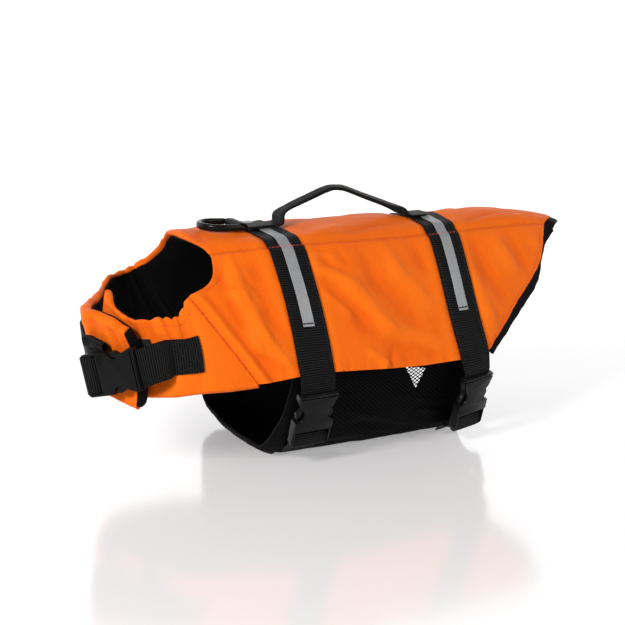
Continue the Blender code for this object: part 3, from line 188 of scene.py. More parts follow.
# webbing sewn on the neck flaps; columns: upper edge u v, lower edge u v
NECK_WEB_LEFT = np.array((
    (0.328, 0.28, 0.38, 0.735), (0.212, 0.27, 0.288, 0.735), (0.113, 0.30, 0.205, 0.73)))
NECK_WEB_GAP = LAY_GAP + 0.25   # between the flap and the webbing sewn on it
NECK_WEB_FREE = ((-206.5, -97.5, 124.0), (-198.5, -98.6, 126.0), (-190.0, -96.8, 127.0))   # its free run
NECK_WEB_RIGHT = np.array((
    (0.87, 0.60, 0.845, 0.985), (0.81, 0.56, 0.785, 0.985), (0.76, 0.52, 0.74, 0.98),
    (0.715, 0.46, 0.70, 0.94), (0.66, 0.34, 0.65, 0.84), (0.60, 0.23, 0.60, 0.73), (0.53, 0.20, 0.54, 0.69),
    (0.45, 0.23, 0.46, 0.72), (0.35, 0.24, 0.37, 0.72), (0.25, 0.25, 0.27, 0.72), (0.16, 0.25, 0.18, 0.72)))
# the neck buckle's loop behind it
# columns: place along the buckle, depth behind its middle plane at the upper edge, middle, lower edge
NECK_LOOP_END = ((56.5, 5.9, 5.9, 5.9), (53.0, 8.2, 8.2, 8.2), (48.0, 9.3, 10.3, 10.0),
                 (42.0, 8.3, 9.7, 9.5), (36.0, 7.7, 8.9, 9.5))
# ---- spine hardware ----
BAR_X = -81.5           # the D-ring's straight bar
RING_HALF = SPINE_WEB_WIDTH / 2 + 0.8 + RING_BAND / 2
RING_LENGTH = 36.0
RING_PITCH = math.radians(3.0)


def unit(vectors):
    """Vectors divided by their length."""
    return vectors / np.linalg.norm(vectors, axis=-1, keepdims=True)


def grids(*values):
    """Values as float arrays of one common shape."""
    return np.broadcast_arrays(*(np.asarray(value, float) for value in values))


ENDLESS, WHOLE = (-np.inf, np.inf), (0, 1)      # what a surface's parameter may be


def facing(surface, a, b, steps, ends=(ENDLESS, ENDLESS)):
    """Unit normal at a and b: the cross product of the differences between points a step to both sides."""
    (a0, a1), (b0, b1) = ((np.clip(at - step, *end), np.clip(at + step, *end))
                          for at, step, end in zip((a, b), steps, ends))
    return unit(np.cross(surface(a1, b) - surface(a0, b), surface(a, b1) - surface(a, b0)))


def smooth(knots, values, at):
    """Cubic through the knots that never overshoots them.

    values holds a row for each knot; with three axes, its second one runs with `at`.
    """
    knots, values, at = (np.asarray(a, float) for a in (knots, values, at))
    shape = (-1,) + (1,) * (values.ndim - 1)
    step = np.diff(knots)
    rise = np.diff(values, axis=0) / step.reshape(shape)
    slope = np.empty_like(values)
    slope[0], slope[-1] = rise[0], rise[-1]
    near, far = rise[:-1], rise[1:]
    w_near, w_far = ((2 * step[1:] + step[:-1]).reshape(shape), (step[1:] + 2 * step[:-1]).reshape(shape))
    turning = near * far <= 0
    with np.errstate(divide="ignore", invalid="ignore"):
        slope[1:-1] = np.where(turning, 0.0, (w_near + w_far) / (w_near / near + w_far / far))
    i = np.clip(np.searchsorted(knots, at, side="right") - 1, 0, len(step) - 1)
    rows = (lambda a, j: a[j, np.arange(len(at))]) if values.ndim == 3 else (lambda a, j: a[j])
    t = ((at - knots[i]) / step[i])[:, None]
    h = step[i][:, None]
    return (rows(values, i) * (1 + 2 * t) * (1 - t) ** 2 + rows(slope, i) * h * t * (1 - t) ** 2
            + rows(values, i + 1) * t * t * (3 - 2 * t) + rows(slope, i + 1) * h * t * t * (t - 1))


# ---- torso surface ----
TORSO_STEPS = (0.5, 0.004)      # steps along x, and q or w, to the points that a normal is worked out from


def torso(x, q):
    """Torso face before its seams pull in: the station table read along x, then across by q."""
    x, q = grids(x, q)
    row = smooth(STATIONS[:, 0], STATIONS[:, 1:], x.ravel())
    spine_z, y, z = row[:, 0], row[:, 1::2], row[:, 2::2]
    crown_z = spine_z - CROWN_SAG * (spine_z - z[:, 0])
    ys = np.stack((-CROWN_Q * y[:, 0], 0 * spine_z, CROWN_Q * y[:, 0], *y.T))
    zs = np.stack((crown_z, spine_z, crown_z, *z.T))
    yz = smooth(SECTION_Q, np.stack((ys, zs), axis=-1), np.abs(q.ravel()))
    points = np.column_stack((x.ravel(), yz[:, 0] * np.where(q.ravel() < 0, -1, 1), yz[:, 1]))
    return points.reshape(x.shape + (3,))


def torso_normal(x, q):
    return facing(torso, x, q, TORSO_STEPS)


def off_torso(x, q, height):
    """Points at a height over the torso face."""
    return torso(x, q) + torso_normal(x, q) * height[..., None]


def front_x(s, side):
    """Front edge of a side panel: the neck edge, then the straight slanted seam down to the hem."""
    s, side = grids(s, side)
    neck = smooth(NECK_EDGE[:, 0], NECK_EDGE[:, 1:], np.clip(s, 0, CORNER_S).ravel())
    neck = np.where(side.ravel() < 0, neck[:, 0], neck[:, 1]).reshape(s.shape)
    seam = NECK_EDGE[-1, 1] + (SEAM_HEM_X - NECK_EDGE[-1, 1]) * (s - CORNER_S) / (1 - CORNER_S)
    return np.where(s < CORNER_S, neck, seam)


def rear_x(s):
    """Rear edge of a side panel, a smooth curve through its table."""
    return smooth(REAR_EDGE[:, 0], REAR_EDGE[:, 1:], np.asarray(s, float).ravel())[:, 0].reshape(np.shape(s))


def spine_front_x(q):
    """Front edge of the spine panel: it runs to the ridge seams as a power of |q|."""
    ridge = np.where(np.asarray(q) < 0, NECK_EDGE[0, 1], NECK_EDGE[0, 2])
    return SPINE_FRONT_X + (ridge - SPINE_FRONT_X) * np.abs(q) ** FRONT_CURVE


def spine_rear_x(q):
    """Rear edge of the spine panel, in the same way."""
    return SPINE_REAR_X + (REAR_EDGE[0, 1] - SPINE_REAR_X) * np.abs(q) ** REAR_CURVE


def chest_distance(x, q):
    """Distance from the slanted chest seam, or from its upper end for a point above it."""
    reach = np.abs(q)
    beside = (x - front_x(np.clip(reach - 1, CORNER_S, 1), np.sign(q))) * CHEST_SLANT
    return np.hypot(np.where(reach > 1, beside, FAR), np.maximum((CORNER_S + 1 - reach) * DROP, 0))


def relief(x, q):
    """How far the sewn panel stands off the torso face.

    It pulls in at the ridge seams and under the straps on the spine, and stands out at the chest fold.
    """
    reach = np.abs(q)
    from_ridge = np.where(reach < 1, (1 - reach) * RIDGE_HALF, (reach - 1) * DROP)
    from_chest = chest_distance(x, q)
    press = sum(np.exp(-((x - strap["x"]) / strap["press"]) ** 4) for strap in STRAPS.values())
    return (FOLD_HEIGHT * np.exp(-((from_chest - FOLD_PLACE) / SEAM_WIDTH) ** 2)
            - RIDGE_DIP * np.exp(-(from_ridge / SEAM_WIDTH) ** 2)
            - SPINE_PRESS * press * np.exp(-(reach / 0.72) ** 4))


# how the top corner of the right flap's free end is pulled in, and over which shares of its length and drop
FLAP_CORNER, CORNER_U, CORNER_V = np.array((-1.5, 1.0, -4.0)), 0.09, 0.3
# shares of a flap's length over which its face, and its normal, turn into the body panel's
FACE_BLEND, NORMAL_BLEND = 0.22, 0.12
FLAP_STEPS = (0.01, 0.01)


def flap_base(side, u, v):
    """Flap face before its gathers and creases; near u = 0 it turns into the body's slanted chest seam."""
    table = FLAPS[side]
    v1 = v.ravel()[:, None]
    points = flap_section(smooth(np.linspace(0, 1, len(table)), table, u.ravel()), side, v1)
    to_seam = torso(*chest_seam(side, v1[:, 0])) - flap_section(table[:1], side, v1)
    points = points + to_seam * np.clip(1 - u.ravel() / FACE_BLEND, 0, 1)[:, None] ** 2
    if side == RIGHT:
        corner = np.exp(-((1 - u.ravel()) / CORNER_U) ** 2 - (v.ravel() / CORNER_V) ** 2)[:, None]
        points = points + corner * FLAP_CORNER
    return points.reshape(u.shape + (3,))


def flap_section(rows, side, v):
    """Points down flap sections: the parabola from the top edge (v = 0) through the middle to the hem (1)."""
    top, hem = rows[:, :3], rows[:, 5:]
    middle = np.column_stack((rows[:, 3:5], 0.5 * (top[:, 2] + hem[:, 2])))
    points = top * (1 - v) * (1 - 2 * v) + middle * 4 * v * (1 - v) + hem * v * (2 * v - 1)
    return points * (1, side, 1)


def chest_seam(side, v):
    """The body panel's x and q along the slanted seam that the flap is sewn to."""
    s = CORNER_S + (1 - CORNER_S) * v
    return front_x(s, side), side * (1 + s)


def flap_normal(side, u, v):
    """Flap normal; at the slanted seam it is the body panel's own, so that both walls end face to face."""
    own = facing(lambda a, b: flap_base(side, a, b), u, v, FLAP_STEPS, (WHOLE, WHOLE)) * -side
    fade = np.clip(1 - u / NORMAL_BLEND, 0, 1)[..., None]
    return unit(own * (1 - fade) + torso_normal(*chest_seam(side, v)) * fade)


def flap_depth(side, u, v):
    """Flap thickness: thin along the top edge, but full or folded towards the free end."""
    start, end_edge = (0.80, FLAP_PAD) if side == LEFT else (0.34, FLAP_END_EDGE)
    edge = FLAP_EDGE + (end_edge - FLAP_EDGE) * np.clip((u - start) / 0.12, 0, 1)
    return FLAP_PAD - (FLAP_PAD - edge) * np.exp(-v / 0.14)


# ---- belly surface ----
def belly(x, w, out=0.0):
    """Belly net's outer face: w runs from the left tucked edge (0) under the dog to the right one (1)."""
    x, w = grids(x, w)
    points = belly_base(x.ravel(), w.ravel())
    normal = -facing(belly_base, x.ravel(), w.ravel(), TORSO_STEPS, (ENDLESS, WHOLE))
    return (points + normal * np.asarray(out, float).reshape(-1, 1)).reshape(x.shape + (3,))


def belly_base(x, w):
    """Belly face: a section through its tucked edges and knots at each x, its open ends turned up."""
    tucked = [torso(x, q) - torso_normal(x, q) * BELLY_TUCK_GAP for q in (-BELLY_TUCK_Q, -2, 2, BELLY_TUCK_Q)]
    knots = np.concatenate(((0, 0.09), BELLY_KNOTS[:, 0], (0.92, 1)))
    between = [tucked[2] * (1, *shares) for shares in BELLY_KNOTS[:, 1:]]
    yz = smooth(knots, np.stack(tucked[:2] + between + tucked[2:])[..., 1:], w)
    edge = smooth(BELLY_EDGES[:, 0], BELLY_EDGES[:, 1:], w)
    rise = edge[:, 2] * np.clip(1 - (x - edge[:, 0]) / LIP_LENGTH, 0, 1.2) ** 2
    rise = rise + edge[:, 2] * np.clip(1 - (edge[:, 1] - x) / LIP_LENGTH, 0, 1.2) ** 2
    yz = yz + unit(BELLY_CENTRE - yz) * rise[:, None]
    return np.column_stack((x, yz))


def pad_depth(x, q, front, rear):
    """Pad thickness: full over the foam, thin where the foam stops short of the neck and rear edges."""
    neck = np.interp(np.abs(q), (0, 1, 0.95 + CORNER_S, 1.12 + CORNER_S, 2),
                     (PAD_CROWN, PAD_NECK, PAD_NECK, PAD, PAD))
    return (PAD - (PAD - PAD_REAR) * np.exp(-np.maximum(rear - x, 0) / REAR_FADE)
            - (PAD - neck) * np.exp(-np.maximum(x - front, 0) / NECK_FADE))


def span(front, rear, steps):
    """x of a grid's points: a row for each step, from the front edge (0) to the rear one (1)."""
    return front[None, :] + (rear - front)[None, :] * np.asarray(steps)[:, None]


def ends_fade(x, length):
    """0 on a grid's front and rear edges, 1 from `length` inside them."""
    return np.clip((x - x[0]) / length, 0, 1) * np.clip((x[-1] - x) / length, 0, 1)


def inner_depth(x, q, front, rear):
    """Depth of a panel's inner face: the pad, or as deep as the pressed outer face needs."""
    return np.maximum(pad_depth(x, q, front, rear), PAD_LEAST - relief(x, q))


def buckle_axes(buckle):
    """Start of a buckle, and unit vectors along it, across it and out of its face."""
    start, finish, outward = (np.array(p) for p in buckle)
    axis = unit(finish - start)
    face = unit(outward - axis * (outward @ axis))
    return start, axis, np.cross(axis, face), face


# ---- webbing ----
def strap_x(strap, q):
    """Middle of a back strap: it leans back as it drops."""
    run = np.array(strap["run"], float)
    return strap["x"] + smooth(run[:, 0], run[:, 1:], strap_drop(strap, q).ravel())[:, 0].reshape(np.shape(q))


def strap_drop(strap, q):
    """How far the torso face has dropped below the spine where a strap is at q."""
    level = torso(np.full(np.shape(q), strap["x"]), q)[..., 2]
    return torso(strap["x"], 0.0)[..., 2] - level


def bar_wrap(start, axis, face):
    """Middle of the webbing held by the female half: down through its window, over the bar and behind."""
    return [start + axis * v + face * lift for v, lift in
            ((45.0, -3.4), (46.4, -0.4), (49.4, 2.0), (53.0, 2.9), (56.6, 3.1), (59.9, 3.1),
             (61.5, 1.8), (61.7, 0.0), (61.5, -1.8), (59.9, -3.2))]


def spine_top(x, out):
    """Height of a point `out` above the middle of the spine panel."""
    return float(panel_face(x, 0.0, out)[..., 2])


def bar_height():
    """Height of the D-ring bar's middle, above the webbing that passes under it."""
    return spine_top(BAR_X, TAPE_FOOT + BAR_HEIGHT / 2 + 0.75)


# ---- what the cloth does beyond the solids: creases, puckers, pressed straps ----
# Creases of the body panels. columns: x and drop of the start, x and drop of the end, height, half width;
# drop is the distance down from the ridge seam, and a negative height is a trough
LEFT_CREASES = np.array((
    (-30, 22, 8, 52, 1.5, 8), (8, 52, 42, 92, 1.9, 10), (42, 92, 96, 112, 1.4, 9),
    (-18, 44, 16, 84, -1.4, 8), (16, 84, 60, 118, -1.3, 9), (24, 8, 40, 50, -1.1, 8),
    (40, 50, 72, 86, -1.2, 9), (56, 8, 66, 40, 1.1, 8), (66, 40, 90, 70, 1.2, 9), (88, 4, 98, 36, -1, 7),
    (-22, 6, -14, 24, -1.1, 6), (20, 118, 34, 128, 1.5, 4.5), (34, 128, 30, 134, 1.2, 4),
    (44, 120, 36, 131, -1.3, 4), (70, 112, 92, 124, -1, 6), (-112, 14, -106, 56, 1.3, 8),
    (-106, 56, -92, 92, 1.8, 9), (-92, 92, -74, 118, 1.6, 8), (-124, 20, -122, 48, -1.1, 7),
    (-88, 30, -80, 74, -1.1, 8), (-80, 74, -66, 100, -1, 8), (-118, 66, -108, 88, -1.5, 5),
    (-108, 88, -98, 104, 1.2, 4), (-96, 112, -76, 124, -1.3, 4.5), (-24, 16, -6, 22, 1.1, 3),
    (-22, 26, 2, 38, -1, 3.5), (-26, 34, -8, 46, 0.9, 3), (2, 12, 8, 30, -0.8, 4),
    (-20, 60, 0, 78, 0.9, 3.5), (-100, 40, -88, 52, -0.8, 4), (-116, 44, -112, 64, 0.8, 3.5),
    (160, 12, 176, 48, -1.1, 9), (176, 48, 190, 78, -1.1, 8), (190, 8, 208, 44, 1.2, 10),
    (214, 20, 226, 46, -0.9, 8), (158, 60, 168, 92, 1.2, 8), (168, 92, 172, 110, 1, 6),
    (236, 6, 246, 26, 0.9, 6)))
RIGHT_CREASES = np.array((
    (-26, 16, 4, 58, 1.4, 9), (4, 58, 46, 84, 1.7, 10), (46, 84, 92, 118, 1.5, 8),
    (-24, 52, 10, 96, -1.3, 8), (30, 12, 50, 60, -1.2, 9), (50, 60, 86, 80, -1.1, 8),
    (62, 10, 78, 50, 1.2, 9), (12, 112, 30, 130, 1.4, 5), (60, 122, 52, 133, -1.3, 4),
    (94, 24, 100, 60, -0.9, 7), (-116, 20, -104, 62, 1.4, 8), (-104, 62, -84, 104, 1.7, 9),
    (-120, 60, -104, 94, -1.4, 5), (-90, 24, -78, 66, -1.1, 8), (-92, 108, -74, 126, -1.2, 5),
    (162, 18, 180, 58, -1.2, 9), (186, 14, 204, 52, 1.1, 9), (160, 70, 172, 104, 1.2, 7),
    (220, 14, 232, 36, -0.9, 7)))
# Creases of the spine panel. columns: x and y of the start, x and y of the end, height, half width
SPINE_CREASES = np.array((
    (-128, -30, -112, 22, -0.8, 8), (-20, -42, 14, -26, 0.8, 7), (30, -40, 72, -30, -0.8, 7),
    (60, 18, 96, 34, 0.8, 8), (-10, 14, 30, 36, -0.8, 8), (176, -38, 204, -24, -0.7, 7),
    (196, 12, 232, 30, 0.8, 9), (240, -36, 256, -20, 0.6, 7), (150, 8, 176, 26, 0.6, 7),
    (-106, 26, -94, 44, 0.8, 6)))
# Creases of the neck flaps. columns: distance round and down of the start and of the end, height, half width
LEFT_FLAP_CREASES = np.array((
    (34, 6, 44, 28, -0.9, 6), (44, 30, 56, 50, -0.6, 6), (64, 4, 61, 22, -0.9, 5), (88, 3, 85, 18, -0.9, 5),
    (76, 4, 78, 14, 0.9, 5), (108, 3, 105, 20, -0.9, 5), (24, 40, 40, 74, 1, 8), (12, 14, 24, 40, 0.8, 7),
    (60, 62, 92, 78, 1.3, 7), (96, 66, 128, 72, -1.2, 6), (126, 8, 130, 40, 1.1, 6),
    (146, 10, 150, 60, -1, 7)))
RIGHT_FLAP_CREASES = np.array((
    (20, 16, 34, 56, 1.3, 7), (52, 6, 58, 34, -1.3, 5), (78, 4, 74, 30, 1.2, 5), (104, 6, 110, 50, -1.1, 6),
    (128, 4, 126, 26, -1.4, 5), (150, 6, 158, 40, 1.2, 6), (176, 4, 172, 26, -1.4, 5),
    (188, 3, 190, 18, 1.1, 4), (204, 4, 200, 30, -1.4, 5), (222, 6, 226, 40, 1.2, 6),
    (236, 10, 238, 48, -1.1, 5), (96, 60, 140, 74, -1.1, 6)))
FLAP_CREASES = {LEFT: LEFT_FLAP_CREASES, RIGHT: RIGHT_FLAP_CREASES}


CREASE_GAIN = 1.9
FLAP_GAIN = 0.6         # the same for all that the flap cloth adds


def creases(table, along, down):
    """Height of all creases at a point: each is a soft round ridge or trough round its own line.

    Its height is CREASE_GAIN * height * exp(-(distance / half width)^2), the distance being to the nearest
    point of the line, and its half width is twice as large on one side as on the other.
    """
    total = np.zeros(np.broadcast(along, down).shape)
    for x0, d0, x1, d1, height, width in table:
        length = math.hypot(x1 - x0, d1 - d0)
        ux, ud = (x1 - x0) / length, (d1 - d0) / length
        t = (along - x0) * ux + (down - d0) * ud
        beside = (along - x0) * ud - (down - d0) * ux
        beyond = np.maximum(np.maximum(-t, t - length), 0)
        skewed = beside / (width * np.where(beside > 0, 0.62, 1.3))
        total += CREASE_GAIN * height * np.exp(-skewed ** 2 - (beyond / (1.3 * width)) ** 2)
    return total


def uneven(t, seed):
    """Uneven wave between about -1 and 1: three sines whose lengths don't fit together."""
    return (0.5 * np.sin(t + seed) + 0.32 * np.sin(1.71 * t + 2.3 * seed + 0.6 * np.sin(0.23 * t))
            + 0.25 * np.sin(2.63 * t + 0.7 * seed))


def strap_reach(x, q):
    """Distance along x from the middle of the nearer back strap."""
    return np.minimum(np.abs(x - strap_x(FRONT_STRAP, q)), np.abs(x - strap_x(REAR_STRAP, q)))


def stitch_dip(drop, x, q):
    """Narrow troughs where thread pulls the cloth in, along the ridge seam and beside the chest seam."""
    chest = chest_distance(x, q)
    lower = 0.5 + 1.1 * (np.clip(np.abs(q) - 1, CORNER_S, 1) - CORNER_S)
    return (-0.55 * np.exp(-((drop - 4.0) / 1.7) ** 2) - 1.5 * np.exp(-(chest / 2.2) ** 2)
            + lower * (2.0 * np.exp(-((chest - 7.5) / 3.2) ** 2) - 2.2 * np.exp(-((chest - 15) / 4.0) ** 2)
                       + 0.6 * np.exp(-(chest / 14) ** 2) * uneven(drop / 2.6, 5.0)))


def cloth_relief(x, q):
    """What the orange body cloth adds to the solid's face: creases, puckers, bulges beside the straps."""
    reach = np.abs(q)
    drop = (reach - 1) * DROP
    side_folds = np.where(q < 0, creases(LEFT_CREASES, x, drop), creases(RIGHT_CREASES, x, drop))
    top_folds = creases(SPINE_CREASES, x, q * RIDGE_HALF)
    folds = np.where(reach > 1, side_folds, top_folds) * np.clip(np.abs(reach - 1) * 60 / 14, 0, 1)
    from_strap = strap_reach(x, q)
    pressed = 1 / (1 + np.exp((from_strap - 21) / 2.0))
    folds = folds * (1 - 0.85 * pressed) + 0.8 * np.exp(-((from_strap - 25) / 5.5) ** 2) - 0.25 * pressed
    ridge = np.exp(-np.where(reach > 1, drop / 9, (1 - reach) * RIDGE_HALF / 5.5))
    pucker = (0.35 * uneven(x / 1.5, 1.0 + np.sign(q)) + 0.45 * uneven(x / 4.1 + drop / 40, 2.0)) * ridge
    hem = np.exp(-np.maximum(2 - reach, 0) * DROP / 7)
    front_edge, rear_edge = body_edges(q)
    front = np.exp(-np.maximum(x - front_edge, 0) / 7)
    rear = np.exp(-np.maximum(rear_edge - x, 0) / 6)
    return (folds + pucker * (1 - pressed) + 0.85 * uneven(x / 2.6, 2.0) * hem + stitch_dip(drop, x, q)
            + 0.5 * uneven(drop / 1.9, 4.0) * front + 0.45 * uneven(drop / 1.7 + q * 12, 5.0) * rear)


def body_edges(q):
    """x of the body's front and rear edges at each q."""
    s, on_side, mid = np.clip(np.abs(q) - 1, 0, 1), np.abs(q) > 1, np.clip(q, -1, 1)
    return (np.where(on_side, front_x(s, np.where(q < 0, LEFT, RIGHT)), spine_front_x(mid)),
            np.where(on_side, rear_x(s), spine_rear_x(mid)))


def cloth_face(x, q, out=0.0):
    """Outer face of the sewn body cloth with its creases, moved out by `out`."""
    x, q = grids(x, q)
    return off_torso(x, q, relief(x, q) + cloth_relief(x, q) + out)


def panel_face(x, q, out=0.0):
    """Sewn outer face of the solids' body panels, moved out by `out`."""
    x, q = grids(x, q)
    return off_torso(x, q, relief(x, q) + out)


def lobes(side, along):
    """Round lobes between tight pinches along a gathered edge: |sin| of a phase that drifts."""
    pitch, size = (16.0, 1.0) if side == LEFT else (27.0, 0.7)
    phase = along / pitch + 0.28 * np.sin(along / 23.0) + 0.14 * np.sin(along / 9.7 + 1.0)
    return size * np.abs(np.sin(math.pi * phase)) ** 0.9 * (0.75 + 0.25 * np.sin(along / 17.0 + side))


def flap_relief(side, u, v):
    """What the orange flap cloth adds to its plain face: gathers along the top edge, creases and puckers."""
    along, down = u * FLAP_LENGTH[side], v * FLAP_DROP
    gather = np.zeros(u.shape)
    if side == LEFT:
        gathered = np.clip((u - 0.12) / 0.5, 0, 1)
        gather = GATHER_DEPTH * np.sin(gathered * GATHERS * 2 * math.pi) * np.exp(-v / 0.16)
    folds = creases(FLAP_CREASES[side], along, down) - 1.4 * np.exp(-(along / 3.0) ** 2)
    top = (2.4 * lobes(side, along) - 0.8) * np.exp(-down / 10)
    top = top + 0.5 * uneven(along / 2.2, 3.0 + side) * np.exp(-down / 6)
    hem = 0.6 * uneven(along / 2.3, 6.0 + side) * np.exp(-(FLAP_DROP - down) / 6)
    return gather + (folds + top + hem) * np.clip(u / 0.03, 0, 1)


def flap(side, u, v, out=0.0):
    """Neck flap face with its creases: u from the slanted seam (0) to the free end (1), v from top to hem."""
    u, v = grids(u, v)
    height = flap_relief(side, u, v) * FLAP_GAIN + out
    return flap_base(side, u, v) + flap_normal(side, u, v) * height[..., None]


# ---- meshes ----
SHARP_ANGLE = math.radians(50)
WEB_COLUMNS = 9         # points across a band of webbing
STITCH_SIDES = 6        # of a stitch's section


def linked(name, data):
    """New object of the scene's own collection."""
    made = bpy.data.objects.new(name, data)
    bpy.context.scene.collection.objects.link(made)
    return made


def place(surface, name, finish, node, body="jacket", field=None):
    """Finished piece at the origin, with outward faces, riding on its body.

    surface is points in millimetres, faces and data. The first two columns of data are the UV in millimetres,
    and a third one is kept as an attribute named by `field`.
    """
    points, faces, data = surface
    mesh = bpy.data.meshes.new(name)
    mesh.from_pydata((np.asarray(points, float) * MM).tolist(), [], faces)
    shape = bmesh.new()
    shape.from_mesh(mesh)
    bmesh.ops.recalc_face_normals(shape, faces=shape.faces)
    shape.to_mesh(mesh)
    shape.free()
    if data is not None:
        corners = np.empty(len(mesh.loops), np.int32)
        mesh.loops.foreach_get("vertex_index", corners)
        layer = mesh.uv_layers.new(name="cloth")
        layer.uv.foreach_set("vector", np.asarray(data[:, :2], np.float32)[corners].ravel())
    if field:
        values = np.asarray(data[:, 2], np.float32)
        mesh.attributes.new(field, "FLOAT", "POINT").data.foreach_set("value", values)
    mesh.shade_smooth()
    mesh.set_sharp_from_angle(angle=SHARP_ANGLE)
    made = linked(name, mesh)
    mesh.materials.append(finish)
    if node:
        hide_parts(node)
    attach(made, body)
    return made


def grid_quads(rows, columns, first=0, flip=False):
    """Faces of a grid of points, the first of which has the index `first`."""
    a = first + np.arange(rows - 1)[:, None] * columns + np.arange(columns - 1)[None, :]
    quads = np.stack((a, a + 1, a + columns + 1, a + columns), -1).reshape(-1, 4)
    return quads[:, ::-1] if flip else quads


def wall_mesh(outer, inner, uv, rounding=None, rim_steps=(0.04, 0.18, 0.5, 0.82, 0.96)):
    """Closed wall between two grids, with a round rim: points, faces and UV.

    A rim ring at share t of the thickness stands out by rounding * sqrt(1 - (2 t - 1)^2), a half ellipse.
    rounding is a dict of the grid's sides (first, last, low, high) to a length or an array of them.
    """
    rows, columns = outer.shape[:2]
    i, j = np.arange(rows), np.arange(columns)
    border = np.concatenate((
        np.stack((0 * j, j), 1), np.stack((i[1:], 0 * i[1:] + columns - 1), 1),
        np.stack((0 * j[1:] + rows - 1, j[::-1][1:]), 1), np.stack((i[::-1][1:-1], 0 * i[1:-1]), 1)))
    at = border[:, 0], border[:, 1]
    points, uvs = [outer.reshape(-1, 3), inner.reshape(-1, 3)], [uv.reshape(rows * columns, -1)] * 2
    rings, base = [border[:, 0] * columns + border[:, 1]], 2 * rows * columns
    if rounding:
        push, middle, every = np.zeros(outer.shape), 0.5 * (outer + inner), slice(None)
        places = {"first": ((0, every), (1, every)), "last": ((-1, every), (-2, every)),
                  "low": ((every, 0), (every, 1)), "high": ((every, -1), (every, -2))}
        for side, amount in rounding.items():
            edge, nearby = places[side]
            amount = np.broadcast_to(np.asarray(amount, float), middle[edge].shape[:1])
            push[edge] += unit(middle[edge] - middle[nearby]) * amount[:, None]
        for share in rim_steps:
            bulge = math.sqrt(1 - (2 * share - 1) ** 2)
            points.append(outer[at] * (1 - share) + inner[at] * share + push[at] * bulge)
            uvs.append(uv[at])
            rings.append(base + np.arange(len(border)))
            base += len(border)
    rings.append(rings[0] + rows * columns)
    quads = [grid_quads(rows, columns), grid_quads(rows, columns, rows * columns, flip=True)]
    for near, far in zip(rings, rings[1:]):
        quads.append(np.stack((np.roll(near, -1), near, far, np.roll(far, -1)), 1))
    return np.concatenate(points), np.concatenate(quads).tolist(), np.concatenate(uvs)


def sweep_mesh(sections, uv=None, closed=False):
    """Closed body through a row of like sections: points, faces and UV."""
    count, around = sections.shape[:2]
    i = np.arange(count if closed else count - 1)[:, None]
    k = np.arange(around)[None, :]
    j, n = (i + 1) % count, (k + 1) % around
    quads = np.stack((i * around + k, i * around + n, j * around + n, j * around + k), -1)
    quads = quads.reshape(-1, 4).tolist()
    if not closed:
        quads += [list(range(around))[::-1], [(count - 1) * around + k for k in range(around)]]
    return sections.reshape(-1, 3), quads, None if uv is None else uv.reshape(-1, 2)


def refine(grid, rows, columns=None):
    """The same surface through more lines: a cubic along the rows, then one along the columns."""
    at = np.linspace(0, len(grid) - 1, rows)
    fine = smooth(np.arange(len(grid)), grid.reshape(len(grid), -1), at).reshape((rows,) + grid.shape[1:])
    if columns and grid.ndim == 3:
        fine = refine(fine.transpose(1, 0, 2), columns).transpose(1, 0, 2)
    return fine


def lengths(points):
    """Distance run along a row of points."""
    return np.concatenate(([0], np.cumsum(np.linalg.norm(np.diff(points, axis=0), axis=1))))


def paired(first, second):
    """Two arrays, broadcast together, as the two columns of a grid's data."""
    return np.stack(np.broadcast_arrays(first, second), -1)


def stretches(*parts):
    """Even steps over each stretch (start, end, count); only the last stretch includes its end."""
    return np.concatenate([np.linspace(*part, endpoint=part is parts[-1]) for part in parts])


def surface_uv(grid):
    """UV in millimetres: the distance along the middle column, and across the middle row."""
    rows, columns = grid.shape[:2]
    run = lengths(grid[:, columns // 2])
    cross = lengths(grid[rows // 2])
    return paired(cross[None, :] - cross[-1] / 2, run[:, None])


def strip_mesh(centre, side, width, thick, round_share=0.3):
    """Webbing along a path: a flat section carried along it, whose corners are eased.

    Its half thickness is 1 - round_share * |across|^8 of the full one, so it stays flat in its middle.
    """
    run = unit(np.gradient(centre, axis=0))
    face = unit(np.cross(run, side))
    row = np.linspace(-1, 1, WEB_COLUMNS)
    across, through = np.concatenate((row, row[::-1])), np.repeat((1.0, -1.0), WEB_COLUMNS)
    through = through * (1 - round_share * np.abs(across) ** 8)
    width, thick = (np.broadcast_to(np.asarray(a, float), (len(centre),)) for a in (width, thick))
    sections = (centre[:, None] + side[:, None] * (across[None, :] * width[:, None] / 2)[..., None]
                + face[:, None] * (through[None, :] * thick[:, None] / 2)[..., None])
    return sweep_mesh(sections, paired(across[None, :] * width[:, None] / 2, lengths(centre)[:, None]))


